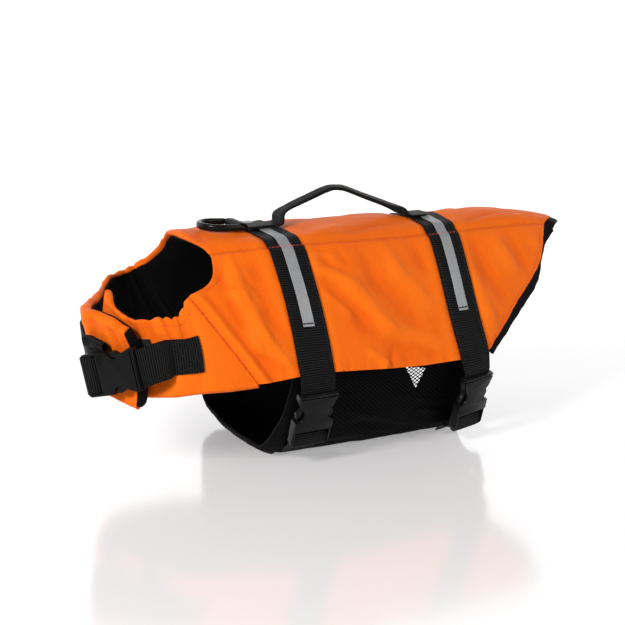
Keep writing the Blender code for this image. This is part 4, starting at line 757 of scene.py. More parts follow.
def dash_mesh(path, lift_dir, length=3.2, gap=1.1, radius=0.32):
    """Row of stitches along a path: each is a short round grain that dips at both ends."""
    run = lengths(path)
    starts = np.arange(0.5 * gap, run[-1] - length, length + gap)
    if not len(starts):
        return np.zeros((0, 3)), np.zeros((0, 4), int), None
    ends = np.stack([np.stack([np.interp(starts + shift, run, path[:, k]) for k in range(3)], 1)
                     for shift in (0.0, length)])
    up = unit(np.stack([np.interp(starts + length / 2, run, lift_dir[:, k]) for k in range(3)], 1))
    along = unit(ends[1] - ends[0])
    side = unit(np.cross(along, up))
    share = np.array((0.0, 0.14, 0.5, 0.86, 1.0))
    swell = np.array((0.35, 0.9, 1.0, 0.9, 0.35)) * radius
    height = np.array((-0.55, 0.1, 0.35, 0.1, -0.55)) * radius
    angle = np.arange(STITCH_SIDES) * math.tau / STITCH_SIDES
    centre = ends[0][:, None] + (ends[1] - ends[0])[:, None] * share[:, None] + up[:, None] * height[:, None]
    ring = (side[:, None, None] * np.cos(angle)[:, None] + up[:, None, None] * np.sin(angle)[:, None])
    points = centre[:, :, None] + ring * swell[None, :, None, None]
    i, k = np.arange(len(share) - 1)[:, None] * STITCH_SIDES, np.arange(STITCH_SIDES)[None, :]
    n, j = (k + 1) % STITCH_SIDES, i + STITCH_SIDES
    one = np.stack((i + k, i + n, j + n, j + k), -1).reshape(-1, 4)
    caps = np.array(((0, 5, 4, 3), (0, 3, 2, 1), (24, 25, 26, 27), (24, 27, 28, 29)))
    one = np.concatenate((one, caps))
    faces = (np.arange(len(starts))[:, None, None] * len(share) * STITCH_SIDES + one).reshape(-1, 4)
    return points.reshape(-1, 3), faces, None


def joined(parts):
    """Several surfaces (points, faces, data) as one; data may be None in all of them."""
    points, faces, data = zip(*parts)
    first = np.cumsum([0] + [len(some) for some in points])
    faces = np.concatenate([np.asarray(some) + base for some, base in zip(faces, first)]).tolist()
    return np.concatenate(points), faces, None if data[0] is None else np.concatenate(data)


# ---- body panels ----
SIDE_STEPS, SPINE_STEPS = 190, 210      # mesh rows from front to rear


def panel_lines():
    """Drop shares of a side panel's lines, closer together along the ridge seam and the hem."""
    return stretches((0, 0.1, 10), (0.1, 0.9, 44), (0.9, 1, 9))


def length_steps(count):
    """Length shares, closer together at both ends: t - 0.09 sin(2 pi t)."""
    t = np.linspace(0, 1, count)
    return t - 0.09 * np.sin(2 * math.pi * t)


def side_lines(side, s_lines):
    """A side panel's lines inside its seams, how far its front edge rounds out, and that edge's x."""
    s = np.array(s_lines)
    s[0] += RIDGE_GAP / 2 / DROP
    s[-1] -= EDGE_ROUND / DROP
    round_front = EDGE_ROUND * np.clip((CORNER_S - s) / 0.05, 0, 1)
    front = front_x(s, side) + np.maximum(round_front, SEAM_GAP / 2)
    return s, round_front, front


def make_padded(outer, inner, data, rounding, name, finish):
    """Padded orange piece between its two faces; data is its UV and the height of its folds, which the orange
    material turns into painted shade in the troughs.
    """
    place(wall_mesh(outer, inner, data, rounding), name + "_cloth", finish, name,
                    field="fold")


def make_body_panel(q, front, rear, steps, down, rounding, name, finish):
    """Padded body panel between its front and rear edges; down is each point's distance across the cloth."""
    x = span(front, rear, length_steps(steps))
    q, down = np.broadcast_to(q, x.shape), np.broadcast_to(down, x.shape)
    inner = torso(x, q) - torso_normal(x, q) * inner_depth(x, q, front, rear)[..., None]
    make_padded(cloth_face(x, q), inner, np.stack((x, down, cloth_relief(x, q)), -1), rounding, name, finish)


def make_side_panel(side, finish):
    """Padded side panel: the sewn face with its creases, from the ridge seam to the hem."""
    s, round_front, front = side_lines(side, panel_lines())
    q = side * (1 + s)
    make_body_panel(q, front, rear_x(s), SIDE_STEPS, (np.abs(q) - 1) * DROP,
                    {"first": round_front, "high": EDGE_ROUND}, "side_panel_" + SIDE_NAMES[side], finish)


def make_spine_panel(finish):
    """Padded top panel between the ridge seams, pressed in where the straps and the handle lie."""
    q = stretches((-1, -0.8, 9), (-0.8, 0.8, 41), (0.8, 1, 10))
    q[0] += RIDGE_GAP / 2 / RIDGE_HALF
    q[-1] -= RIDGE_GAP / 2 / RIDGE_HALF
    make_body_panel(q, spine_front_x(q) + EDGE_ROUND, spine_rear_x(q), SPINE_STEPS, q * RIDGE_HALF,
                    {"first": EDGE_ROUND}, "spine_panel", finish)


def make_body_lining(finish):
    """Black inside of the three body panels, one sheet from hem to hem, pushed inwards in long soft ribs."""
    s, rounded, left_front = side_lines(LEFT, np.linspace(0, 1, 34))
    right_front = side_lines(RIGHT, np.linspace(0, 1, 34))[2]
    mid = np.linspace(-0.94, 0.94, 21)
    q = np.concatenate((-(1 + s)[::-1], mid, 1 + s))
    margin = np.minimum(rounded, 1.0)
    margin = np.concatenate((margin[::-1], 1.0 + 0 * mid, margin))
    fronts = np.concatenate((left_front[::-1], spine_front_x(mid) + EDGE_ROUND, right_front))
    rears = np.concatenate((rear_x(s)[::-1], spine_rear_x(mid), rear_x(s)))
    x = span(fronts, rears, length_steps(100))
    x[0] += margin
    x[-1] -= 1.2
    q = np.broadcast_to(q, x.shape)
    inside = ends_fade(x, 12) * np.clip((2 - np.abs(q)) / 0.2, 0, 1)
    ribs = (0.9 + 0.9 * uneven(q * 9.5 + 0.01 * x, 1.7)) * np.exp(-np.abs(x + 128) / 60)
    ribs = (ribs + 0.5 + 0.5 * uneven(x / 9 + q * 1.3, 0.4)) * inside
    depth = inner_depth(x, q, fronts, rears) + LINING_GAP + ribs
    normal = torso_normal(x, q)
    outer = torso(x, q) - normal * depth[..., None]
    made = place(wall_mesh(outer, outer - normal * LINING, np.stack((x, q * DROP), -1)),
                 "body_lining_cloth", finish, "body_lining")


# section of a facing's round rim: shares of its thickness, and how far each stands out
RIM_SHARES = np.linspace(0, 1, 11)
RIM_SWELL = np.sqrt(1 - (2 * RIM_SHARES - 1) ** 2) ** 0.7
RIM_ROUND = 14.0        # millimetres of cloth round it
# how far the rear facing stands out, on the sides by s and on the spine by |q|, and the wedge that its
# section is at the tail, by the share of its thickness
RIM_SIDE_WIDTH = np.array((
    (0, 13), (0.05, 14), (0.105, 13.5), (0.14, 10.5), (0.175, 7.5), (0.21, 5), (0.28, 3.8), (0.34, 3.4),
    (0.4, 7.5), (0.46, 11), (0.62, 12), (0.78, 10.5), (0.9, 9.5), (1, 10)))
RIM_TAIL_WIDTH = np.array(((0, 9), (0.5, 9.3), (0.85, 11), (1, 12)))
RIM_WEDGE = np.array(((0, 0), (0.1, 0.8), (0.25, 1), (0.5, 0.62), (0.8, 0.22), (1, 0)))
# the same of the flap's facing, by v
FLAP_RIM_WIDTH = np.array((
    (0, 1), (0.05, 3.6), (0.13, 5.4), (0.4, 5.2), (0.7, 7.4), (0.85, 8.4), (0.93, 6.4), (1, 1.2)))


def make_rear_rim(finish):
    """Black facing that stands out past the orange rear edge, widest at the tail tip and low down."""
    s = np.linspace(0, 0.96, 56)
    mid_q = np.linspace(-0.96, 0.96, 41)
    q = np.concatenate((-(1 + s)[::-1], mid_q, 1 + s))
    x = np.concatenate((rear_x(s)[::-1], spine_rear_x(mid_q), rear_x(s)))
    side_width = np.interp(s, *RIM_SIDE_WIDTH.T)
    mid_width = np.interp(np.abs(mid_q), *RIM_TAIL_WIDTH.T)
    width = np.concatenate((side_width[::-1], mid_width, side_width))
    width = width * (1 + 0.06 * uneven(q * 38, 3.0))
    normal = torso_normal(x, q)
    top = panel_face(x, q, -0.9)
    run = unit(np.gradient(torso(x, q), axis=0))
    out = unit(np.cross(run, normal))
    out *= np.sign(out[:, :1])
    base = torso(x, q) - normal * (PAD_REAR + LINING_GAP + LINING)
    start, end = top + out * LAY_GAP, base + out * (LAY_GAP + 0.2)
    lip = np.interp(RIM_SHARES, *RIM_WEDGE.T)
    low = np.clip((np.abs(q) - 1.15) / 0.2, 0, 1)[:, None]
    reach = (RIM_SWELL * low + lip * (1 - low)) * width[:, None]
    rings = [start * (1 - k) + end * k + out * r[:, None] for k, r in zip(RIM_SHARES, reach.T)]
    # the inner edge runs on over the lining, so that no gap shows between them
    rings += [base + out * along - normal * deep
              for along, deep in ((0.5, 1.0), (-8.0, 1.0), (-8.0, 0.4), (0.2, 0.4))]
    round_rim = np.concatenate((RIM_SHARES * RIM_ROUND, (15, 23, 23.6, 31)))
    place(sweep_mesh(np.stack(rings, axis=1), paired(q[:, None] * DROP, round_rim)),
          "rear_rim_cloth", finish, "rear_rim")


# ---- neck flaps ----
def flap_lines(side, steps):
    """Grid of u and v inside a flap's rounded edges, closer together at its top and hem."""
    v = stretches((0, 0.2, 14), (0.2, 0.9, 28), (0.9, 1, 8))
    v[0], v[-1] = EDGE_ROUND / FLAP_DROP, 1 - EDGE_ROUND / FLAP_DROP
    v = np.sort(v)
    u = np.linspace(0, 1, steps) ** 1.05
    u[0] = SEAM_GAP / 2 / FLAP_LENGTH[side] * 1.5
    if side == LEFT:
        u = u * (1 - EDGE_ROUND / FLAP_LENGTH[side])
    return np.meshgrid(u, v, indexing="ij")


def make_neck_flap(side, finish):
    """Padded neck flap: gathered and uneven along its top edge, creased where it turns round the neck."""
    u, v = flap_lines(side, 150 if side == LEFT else 170)
    outer = flap(side, u, v)
    inner = flap_base(side, u, v) - flap_normal(side, u, v) * flap_depth(side, u, v)[..., None]
    rim = EDGE_ROUND * np.clip(u[:, 0] / 0.04, 0, 1)
    rounding = {"low": rim * (0.45 + 0.85 * lobes(side, u[:, 0] * FLAP_LENGTH[side])), "high": EDGE_ROUND}
    if side == LEFT:
        rounding["last"] = EDGE_ROUND
    data = np.stack((u * FLAP_LENGTH[side], v * FLAP_DROP, flap_relief(side, u, v)), -1)
    make_padded(outer, inner, data, rounding, "neck_flap_" + SIDE_NAMES[side], finish)


def make_neck_lining(side, finish):
    """Black inside of a neck flap, its upper part in upright ribs where the edge is gathered."""
    u, v = flap_lines(side, 120)
    normal = flap_normal(side, u, v)
    along = u * FLAP_LENGTH[side]
    ribs = 0.9 + 0.9 * uneven(along / 2.4, 1.0 + side)
    ribs = ribs * np.clip(v / 0.08, 0, 1) * np.clip((1 - v) / 0.3, 0, 1)
    ribs = ribs * np.clip(u / 0.05, 0, 1) * np.clip((1 - u) / 0.05, 0, 1)
    outer = flap_base(side, u, v) - normal * (flap_depth(side, u, v) + LINING_GAP + ribs)[..., None]
    data = np.stack((along, v * FLAP_DROP), -1)
    # the seam's turning: two more rows that run on inside the body lining's edge
    back = unit(outer[0] - outer[3])
    turned = [outer[0] + back * run - normal[0] * deep for run, deep in ((6.0, 2.9), (2.5, 1.9))]
    outer, normal = np.concatenate((turned, outer)), np.concatenate((normal[:1], normal[:1], normal))
    data = np.concatenate((data[:1] - (6.0, 0), data[:1] - (2.5, 0), data))
    name = "neck_lining_" + SIDE_NAMES[side]
    made = place(wall_mesh(outer, outer - normal * LINING, data),
                 name + "_cloth", finish, name)


def make_neck_flap_rim(finish):
    """Black facing on the right flap's free end, uneven in width."""
    v = np.linspace(0.005, 0.985, 64)
    u = np.ones_like(v)
    normal = flap_normal(RIGHT, u, v)
    edge = flap_base(RIGHT, u, v)
    out = unit(edge - flap_base(RIGHT, u - 0.02, v))
    depth = flap_depth(RIGHT, u, v)[:, None] + LINING_GAP + LINING
    start, end = edge + out * SEAM_GAP - normal * 0.3, edge - normal * depth + out * SEAM_GAP
    reach = (np.interp(v, *FLAP_RIM_WIDTH.T) * (1 + 0.07 * uneven(v * 40, 2.0)))[:, None]
    rings = [start * (1 - k) + end * k + out * reach * r for k, r in zip(RIM_SHARES, RIM_SWELL)]
    place(sweep_mesh(np.stack(rings, axis=1), paired(v[:, None] * FLAP_DROP, RIM_SHARES * RIM_ROUND)),
          "neck_flap_rim_cloth", finish, "neck_flap_rim")


def make_closure_patch(finish):
    """Loop patch on the left flap: a thin wall between two levels above its face."""
    u, v = np.meshgrid(np.linspace(0.48, 0.63, 30), np.linspace(0.245, 0.52, 22), indexing="ij")
    data = np.stack((u * FLAP_LENGTH[LEFT], v * FLAP_DROP), -1)
    place(wall_mesh(flap(LEFT, u, v, 1.3), flap(LEFT, u, v, 0.35), data, {"low": 0.3, "high": 0.3}),
          "closure_patch_loop", finish, "closure_patch_neck")


# ---- belly ----
NET_LENGTH = 355.0      # how many millimetres w = 0 to 1 counts as in the net's pattern and creases
NET_SHEET = 0.5         # thickness of its sheet
NET_CREASES = np.array((
    (-70, 89, -30, 113, 0.7, 5), (-20, 72, 30, 97, 0.8, 6), (20, 106, 80, 127, -0.7, 6),
    (60, 69, 112, 89, 0.7, 6), (90, 98, 140, 115, 0.8, 5), (-40, 133, 20, 137, -0.7, 7),
    (40, 143, 100, 139, 0.7, 7), (0, 174, 70, 181, 0.6, 8), (-60, 226, -10, 242, 0.7, 6),
    (30, 249, 90, 240, -0.7, 6), (80, 272, 130, 257, 0.7, 6), (10, 279, 40, 264, 0.6, 5)))


# a corner of the net below the left hem where it is a single layer: x and w of its three corners
NET_WINDOW = ((61, 0.080), (88, 0.095), (78, 0.188))


def window_share(x, w):
    """1 inside the net's single-layer corner and 0 outside it, with a soft edge."""
    share = np.full(x.shape, 1.0)
    corners = [np.array((a, b * NET_LENGTH)) for a, b in NET_WINDOW]
    centre = sum(corners) / 3
    for one, other in zip(corners, corners[1:] + corners[:1]):
        across = np.array((one[1] - other[1], other[0] - one[0])) / np.linalg.norm(other - one)
        across = across * np.sign(across @ (centre - one))
        share = np.minimum(share, ((x - one[0]) * across[0] + (w * NET_LENGTH - one[1]) * across[1]) / 1.5)
    return np.clip(share, 0, 1)


def net_relief(x, w):
    """Shallow creases of the hanging net."""
    return creases(NET_CREASES, x, w * NET_LENGTH) + 0.25 * uneven(x / 7, 2.0) * np.sin(math.pi * w)


def make_belly_net(finish):
    """Mesh panel under the dog: a thin sheet in the middle of the solid's thickness."""
    w = np.linspace(0, 1, 130)
    edge = smooth(BELLY_EDGES[:, 0], BELLY_EDGES[:, 1:], w)
    x = span(edge[:, 0], edge[:, 1], np.linspace(0, 1, 110))
    w = np.broadcast_to(w, x.shape)
    lift = net_relief(x, w) * ends_fade(x, 16) * 0.8 - NET_THICK / 2
    data = np.stack((x, w * NET_LENGTH, window_share(x, w)), -1)
    made = place(wall_mesh(belly(x, w, lift + NET_SHEET / 2), belly(x, w, lift - NET_SHEET / 2), data),
                 "belly_net_mesh", finish, "belly_net", field="single")


def make_binding(name, column, sign, finish):
    """Folded tape round the net's free edge: a C-shaped section carried along the edge, slightly puckered."""
    w = np.linspace(0, 1, 170)
    edge = smooth(BELLY_EDGES[:, 0], BELLY_EDGES[:, column:column + 1], w)[:, 0]
    over, under = BINDING_GAP, -NET_THICK - BINDING_GAP
    middle, half = (over + under) / 2, (over - under) / 2
    rows = [(BINDING_WIDTH, half + BINDING_THICK), (BINDING_WIDTH * 0.5, half + BINDING_THICK)]
    rows += [(-(BINDING_GAP + BINDING_THICK) * math.cos(a), (half + BINDING_THICK) * math.sin(a))
             for a in np.radians(np.linspace(75, -75, 7))]
    rows += [(BINDING_WIDTH * 0.5, -half - BINDING_THICK), (BINDING_WIDTH, -half - BINDING_THICK),
             (BINDING_WIDTH, -half), (BINDING_WIDTH * 0.5, -half), (0.0, -half),
             (-BINDING_GAP, 0.0), (0.0, half), (BINDING_WIDTH * 0.5, half), (BINDING_WIDTH, half)]
    pucker = 0.22 * uneven(w * NET_LENGTH / 2.4, 1.0)
    rings = [belly(edge + sign * inset, w, middle + out + pucker) for inset, out in rows]
    data = paired(w[:, None] * NET_LENGTH, np.arange(len(rows)) * 1.6)
    place(sweep_mesh(np.stack(rings, axis=1), data), name + "_tape", finish, name)


# ---- webbing ----
# places along a buckle of the webbing that the male half holds
MALE_WEB = (4.6, 1.0, -4.0)


def across_shares(count=WEB_COLUMNS):
    """Places across a band, from -0.5 to 0.5."""
    return np.linspace(-0.5, 0.5, count)


def band_mesh(outer, inner, rounding=0.45):
    """Woven band between two grids, with round edges; UV runs across it and along it."""
    return wall_mesh(outer, inner, surface_uv(outer), {"low": rounding, "high": rounding})


def led_in(free, sewn, count):
    """A sewn grid with a free run before it: `count` rows that end smoothly at the first sewn row."""
    return np.concatenate((refine(np.concatenate((free, sewn[:1])), count)[:-1], sewn))


def place_webbing(surface, node, finish):
    """Band of webbing that stands for its node."""
    place(surface, node + "_webbing", finish, node)


def make_back_strap(node, strap, finish):
    """Webbing from the left buckle up over the back and down to the belly net's right side."""
    start, axis, side, face = buckle_axes(strap["buckle"])
    side = side * np.sign(side[0])
    across = across_shares() * WEB_WIDTH
    q_rows = np.linspace(-2, 2, 200)
    x = strap_x(strap, q_rows)[:, None] + across
    q = np.broadcast_to(q_rows[:, None], x.shape)
    inner, outer = cloth_face(x, q, LAY_GAP), cloth_face(x, q, WEB_TOP)
    centre = [start + axis * along for along in MALE_WEB]
    free_in, free_out = (np.array([[c + side * a + lift for a in across] for c in centre])
                         for lift in (-face * WEB_THICK / 2, face * WEB_THICK / 2))
    x_right = x[-1] + np.array((0.6, 1.4, 2.2, 3.0))[:, None]
    w_right = np.broadcast_to(np.array((0.90, 0.865, 0.82, 0.78))[:, None], x_right.shape)
    lift = np.array((4.0, 1.1, 0.0, 0.0))[:, None] + strap["end_lift"] + 0 * x_right
    right_in, right_out = belly(x_right, w_right, lift), belly(x_right, w_right, lift + WEB_THICK)
    outer, inner = (np.concatenate((led_in(free, sewn, 14), refine(np.concatenate((sewn[-1:], end)), 20)[1:]))
                    for free, sewn, end in ((free_out, outer, right_out), (free_in, inner, right_in)))
    place_webbing(band_mesh(outer, inner), node, finish)


def make_tape(node, strap, finish):
    """Reflective tape along the middle of a back strap, from flank to flank."""
    q = np.linspace(-1 - strap["tape_s"], 1 + strap["tape_s"], 150)
    x = strap_x(strap, q)[:, None] + across_shares(5) * TAPE_WIDTH
    q = np.broadcast_to(q[:, None], x.shape)
    place(band_mesh(cloth_face(x, q, TAPE_TOP), cloth_face(x, q, TAPE_FOOT), 0.15),
          node + "_film", finish, node)


def make_belly_strap(node, strap, finish):
    """Short webbing wrapped round the female half's bar and sewn on the belly net."""
    start, axis, side, face = buckle_axes(strap["buckle"])
    path = bar_wrap(start, axis, face)
    for w, lift in strap["belly_rows"]:
        path.append(belly(np.array([strap["belly_x"]]), np.array([w]), np.array([lift + WEB_THICK / 2]))[0])
    path = refine(np.array(path), 70)
    place_webbing(strip_mesh(path, np.tile(side, (len(path), 1)), WEB_WIDTH, WEB_THICK), node, finish)


def sewn_rows(side, table, lift, steps):
    """Webbing lying on a flap: rows across, from its upper edge to its lower one."""
    share = across_shares() + 0.5
    table = smooth(np.linspace(0, 1, len(table)), table, np.linspace(0, 1, steps))
    u = table[:, :1] + (table[:, 2:3] - table[:, :1]) * share
    v = table[:, 1:2] + (table[:, 3:] - table[:, 1:2]) * share
    return flap(side, u, v, lift), flap(side, u, v, lift + WEB_THICK)


def make_neck_strap_left(finish):
    """Webbing sewn on the left flap that runs free into the neck buckle's male half."""
    start, axis, side, face = buckle_axes(NECK_BUCKLE)
    across = side * np.sign(side[2])
    sewn_in, sewn_out = sewn_rows(LEFT, NECK_WEB_LEFT, NECK_WEB_GAP, 70)
    sewn_across = unit(sewn_in[0, 0] - sewn_in[0, -1])
    sewn_face = unit(sewn_out[0, 4] - sewn_in[0, 4])
    rows = [(start + axis * along, 0.0) for along in MALE_WEB]
    rows += [(np.array(c), share) for c, share in zip(NECK_WEB_FREE, (0.35, 0.65, 0.9))]
    free_in, free_out = [], []
    for centre, share in rows:
        width = unit(across * (1 - share) + sewn_across * share) * WEB_WIDTH
        lift = unit(face * (1 - share) + sewn_face * share) * WEB_THICK / 2
        free_in.append([centre - width * a - lift for a in across_shares()])
        free_out.append([centre - width * a + lift for a in across_shares()])
    outer, inner = led_in(free_out, sewn_out, 26), led_in(free_in, sewn_in, 26)
    place_webbing(band_mesh(outer, inner), "neck_strap_left", finish)


def make_neck_strap_right(finish):
    """Webbing sewn on the right flap, carried round the front to end behind the neck buckle."""
    inner, outer = sewn_rows(RIGHT, NECK_WEB_RIGHT, LAY_GAP, 150)
    place_webbing(band_mesh(outer, inner), "neck_strap_right", finish)


# the loop's free end behind the neck buckle. columns: place down the right flap, height off its face
LOOP_TAIL = (
    (0.60, 3.0), (0.50, 2.8), (0.41, 2.8), (0.33, 3.2), (0.27, 4.6), (0.24, 6.8), (0.24, 9.2), (0.27, 11.0),
    (0.32, 11.3), (0.36, 10.0), (0.375, 8.0), (0.36, 6.2), (0.33, 5.4))


def make_neck_loop(finish):
    """Short webbing round the neck buckle's bar, sewn on the right strap's end, with a rolled free end."""
    start, axis, side, face = buckle_axes(NECK_BUCKLE)
    across = side * np.sign(side[2]) * WEB_WIDTH / 2
    wrap = np.array(bar_wrap(start, axis, face))
    run = unit(np.gradient(wrap, axis=0))
    wrap_face = unit(np.cross(run, across)) * WEB_THICK / 2
    middle = np.array([[c + across * a for a in (1, 0, -1)] for c in wrap])
    end = np.array([[start + axis * along + across * a - face * deep for a, deep in zip((1, 0, -1), depths)]
                    for along, *depths in NECK_LOOP_END])
    lift = face * WEB_THICK / 2
    outer = np.concatenate((middle - wrap_face[:, None], end - lift))
    inner = np.concatenate((middle + wrap_face[:, None], end + lift))
    tail = refine(np.array(LOOP_TAIL), 60)
    u = np.linspace(0.855, 0.735, 9) + 0 * tail[:, :1]
    centre = flap(RIGHT, u, tail[:, :1] + 0 * u, tail[:, 1:])
    down, turn = np.gradient(centre, axis=0), np.gradient(centre, axis=1)
    half = unit(np.cross(down, turn)) * WEB_THICK / 2
    place_webbing(joined((band_mesh(refine(outer, 70, 9), refine(inner, 70, 9)),
                          band_mesh(centre + half, centre - half))), "neck_loop", finish)


def handle_rows():
    """The handle's path. columns: x, height of its middle, width, share of its thickness."""
    bar_z = bar_height()
    wrap = BAR_HEIGHT / 2 + SEAM_GAP + 0.35 + WEB_THICK / 2
    low = TAPE_TOP + SEAM_GAP + WEB_THICK / 2
    front_z, rear_z = spine_top(FRONT_STRAP["x"], low), spine_top(REAR_STRAP["x"], low)
    full = SPINE_WEB_WIDTH
    rows = [(BAR_X + 4.6, bar_z - wrap, full, 1)]
    rows += [(BAR_X - wrap * math.sin(a), bar_z - wrap * math.cos(a), full, 1)
             for a in np.radians((0, 45, 90, 135, 180))]
    rows += [(BAR_X + 5, bar_z + wrap - 0.5, full, 1),
             (-70, front_z + 1.0, 26, 1.4), (-60, front_z + 0.5, 23, 1.9),
             (-44, front_z + 0.5, 22, 1.9), (-37, front_z + 0.8, 23, 1.9), (-33.5, front_z + 2.8, 26, 1.8),
             (-33.2, front_z + 6.0, 27, 2.0), (-32.6, front_z + 9.5, 24, 2.4),
             (-29, front_z + 13.2, 19, 2.0), (-22, front_z + 16.6, 15, 2.0)]
    rows += [(3, 252.0, 14, 2.4), (18, 257.3, 14, 2.5), (27, 259.1, 14, 2.5), (37, 258.2, 14, 2.5),
             (64, 247.6, 14, 2.6), (88, 237.8, 15, 2.9), (98, 233.0, 18, 4.4)]
    rows += [(103, rear_z + 6.2, 20, 5.0), (107, rear_z + 4.4, 22, 4.2), (110, rear_z + 1.9, 24, 2.0),
             (113, rear_z + 0.2, 25, 1), (135, rear_z + 0.1, 25, 1)]
    return refine(np.array(rows), 190)


def make_handle(finish):
    """One length of webbing: round the D-ring's bar, along the spine, up as the grip and down again."""
    rows = handle_rows()
    centre = np.column_stack((rows[:, 0], 0 * rows[:, 0], rows[:, 1]))
    roll = np.radians(np.interp(rows[:, 0], (-28, -12, 30, 44, 90, 104), (0, 5, 4, 13, 14, 0)))
    roll = np.where(rows[:, 0] > BAR_X + 30, roll, 0)
    side = np.column_stack((0 * roll, np.cos(roll), np.sin(roll)))
    place(strip_mesh(centre, side, rows[:, 2], rows[:, 3] * WEB_THICK),
          "handle_grip_webbing", finish, "handle_webbing")


# ---- plastic ----
# points round the ring's section, and the power that squares it: an ellipse at 1, fuller below it
RING_SIDES, RING_SQUARE = 20, 0.72


def make_d_ring(finish):
    """D-ring on its hinge line: a straight bar along y and a round bow towards the head."""
    corner, bow = 3.0, RING_HALF
    straight = RING_LENGTH - bow
    bar_y = np.linspace(-RING_HALF + corner, RING_HALF - corner, 9)
    bend, turn = np.radians(np.linspace(10, 90, 9)), np.radians(np.linspace(0, 180, 61))
    neck_x = np.linspace(-corner, -straight, 8)[1:-1]
    # columns: x, y, share of the bow's thickness
    arm = np.concatenate((
        np.column_stack((-corner + corner * np.cos(bend), RING_HALF - corner + corner * np.sin(bend),
                         0.8 * bend / 1.5708)),
        np.column_stack((neck_x, 0 * neck_x + RING_HALF, np.linspace(0.85, 1, len(neck_x))))))
    path = np.concatenate((
        np.column_stack((0 * bar_y, bar_y, 0 * bar_y)), arm,
        np.column_stack((-straight - bow * np.sin(turn), bow * np.cos(turn), 0 * turn + 1)),
        arm[::-1] * (1, -1, 1)))
    swell, path = path[:, 2:], path * (1, 1, 0)
    run = unit(np.roll(path, -1, axis=0) - np.roll(path, 1, axis=0))
    up = np.array((0.0, 0.0, 1.0))
    out = np.cross(run, up)
    half_band = (BAR_HEIGHT + (RING_BAND - BAR_HEIGHT) * swell) / 2
    half_height = (BAR_HEIGHT + (RING_HEIGHT - BAR_HEIGHT) * swell) / 2
    angle = np.linspace(0, math.tau, RING_SIDES, endpoint=False)
    a, b = (np.sign(turned) * np.abs(turned) ** RING_SQUARE for turned in (np.cos(angle), np.sin(angle)))
    rings = path[:, None] + out[:, None] * (half_band * a)[..., None] + up * (half_height * b)[..., None]
    c, s = math.cos(RING_PITCH), math.sin(RING_PITCH)
    turned = np.stack((rings[..., 0] * c + rings[..., 2] * s + BAR_X, rings[..., 1],
                       -rings[..., 0] * s + rings[..., 2] * c + bar_height()), -1)
    data = paired(np.arange(RING_SIDES)[None, :] * 1.0, lengths(path)[:, None])
    place(sweep_mesh(turned, data, closed=True), "d_ring_moulded", finish, "d_ring",
          body="ring")


NOTCH = np.radians(np.linspace(235, 95, 12))
# front plate of a female half, its right side from the near end on, and the male half's raised bar
COVER = np.concatenate((((20.4, 3.3), (20.4, 5.6), (19.6, 7.8), (18.0, 12.4)),
                        np.column_stack((21.6 + 8.75 * np.cos(NOTCH), 22.3 + 8.75 * np.sin(NOTCH))),
                        ((20.8, 33.0), (20.9, 41.9))))
BAR = np.array(((20.6, 0.1), (20.8, 1.4), (20.6, 2.7)))
# each plate's lower and upper level out of the buckle's face, and the rounding of its rim
COVER_LEVELS, BAR_LEVELS = (4.2, 5.5, 0.5), (3.0, 5.3, 0.9)
BEVEL_WIDTH, BEVEL_ANGLE = 0.6, math.radians(34)        # rounding of every edge sharper than the angle


def plate_mesh(right_side, low, high, rounding):
    """Plate standing on an outline and its mirror image, its upper rim a quarter round."""
    outline = np.concatenate((right_side, (right_side * (-1, 1))[::-1]))
    run = unit(np.roll(outline, -1, axis=0) - np.roll(outline, 1, axis=0))
    inwards = np.column_stack((-run[:, 1], run[:, 0]))
    rings = [(0.0, low), (0.0, high - rounding)]
    rings += [(rounding * (1 - math.cos(a)), high - rounding * (1 - math.sin(a)))
              for a in np.radians((30, 60, 90))]
    sections = np.stack([np.column_stack((outline + inwards * inset, np.full(len(outline), level)))
                         for inset, level in rings])
    return sweep_mesh(sections)


def make_buckle(node, buckle, finish):
    """A buckle half: the solid's own shape with rounded edges, and the raised front plate or bar on it."""
    shape = bmesh.new()
    source = bpy.data.objects[node]
    shape.from_mesh(source.data)
    shape.transform(source.matrix_world)
    bmesh.ops.remove_doubles(shape, verts=shape.verts, dist=2e-6)
    bmesh.ops.dissolve_limit(shape, angle_limit=math.radians(2), verts=shape.verts, edges=shape.edges)
    start, axis, side, face = buckle_axes(buckle)
    points, faces, _ = plate_mesh(COVER, *COVER_LEVELS) if "female" in node else plate_mesh(BAR, *BAR_LEVELS)
    detail = bpy.data.meshes.new(node + "_detail")
    world = start + points[:, :1] * side + points[:, 1:2] * axis + points[:, 2:] * face
    detail.from_pydata((world * MM).tolist(), [], faces)
    shape.from_mesh(detail)
    bmesh.ops.recalc_face_normals(shape, faces=shape.faces)
    mesh = bpy.data.meshes.new(node + "_moulded")
    shape.to_mesh(mesh)
    shape.free()
    made = linked(node + "_moulded", mesh)
    mesh.materials.append(finish)
    mesh.shade_smooth()
    bevel = made.modifiers.new("edges", "BEVEL")
    bevel.width, bevel.segments, bevel.limit_method = BEVEL_WIDTH * MM, 3, "ANGLE"
    bevel.angle_limit = BEVEL_ANGLE
    bevel.harden_normals = True
    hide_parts(node)
    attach(made, "jacket")


# ---- stitching ----
EDGE_STITCH = 2.2       # a strap's edge seam from its edge
REAR_STITCH, NECK_STITCH, END_STITCH = 5.5, 8.0, 7.0    # from the rear edge, the neck edge, a flap's free end
THREAD_LIFT, BLACK_LIFT = 0.12, 0.1     # a thread's middle above the cloth, and above webbing


def over_height(x, q):
    """Height of whatever lies on the body cloth: nothing, a strap, or a strap with its tape."""
    reach = strap_reach(x, q)
    on_tape = (reach < TAPE_WIDTH / 2 + 0.3) & (np.abs(q) < 1.6)
    on_strap = reach < WEB_WIDTH / 2 + 0.4
    return np.where(on_tape, TAPE_TOP, np.where(on_strap, WEB_TOP, 0.0)) + THREAD_LIFT


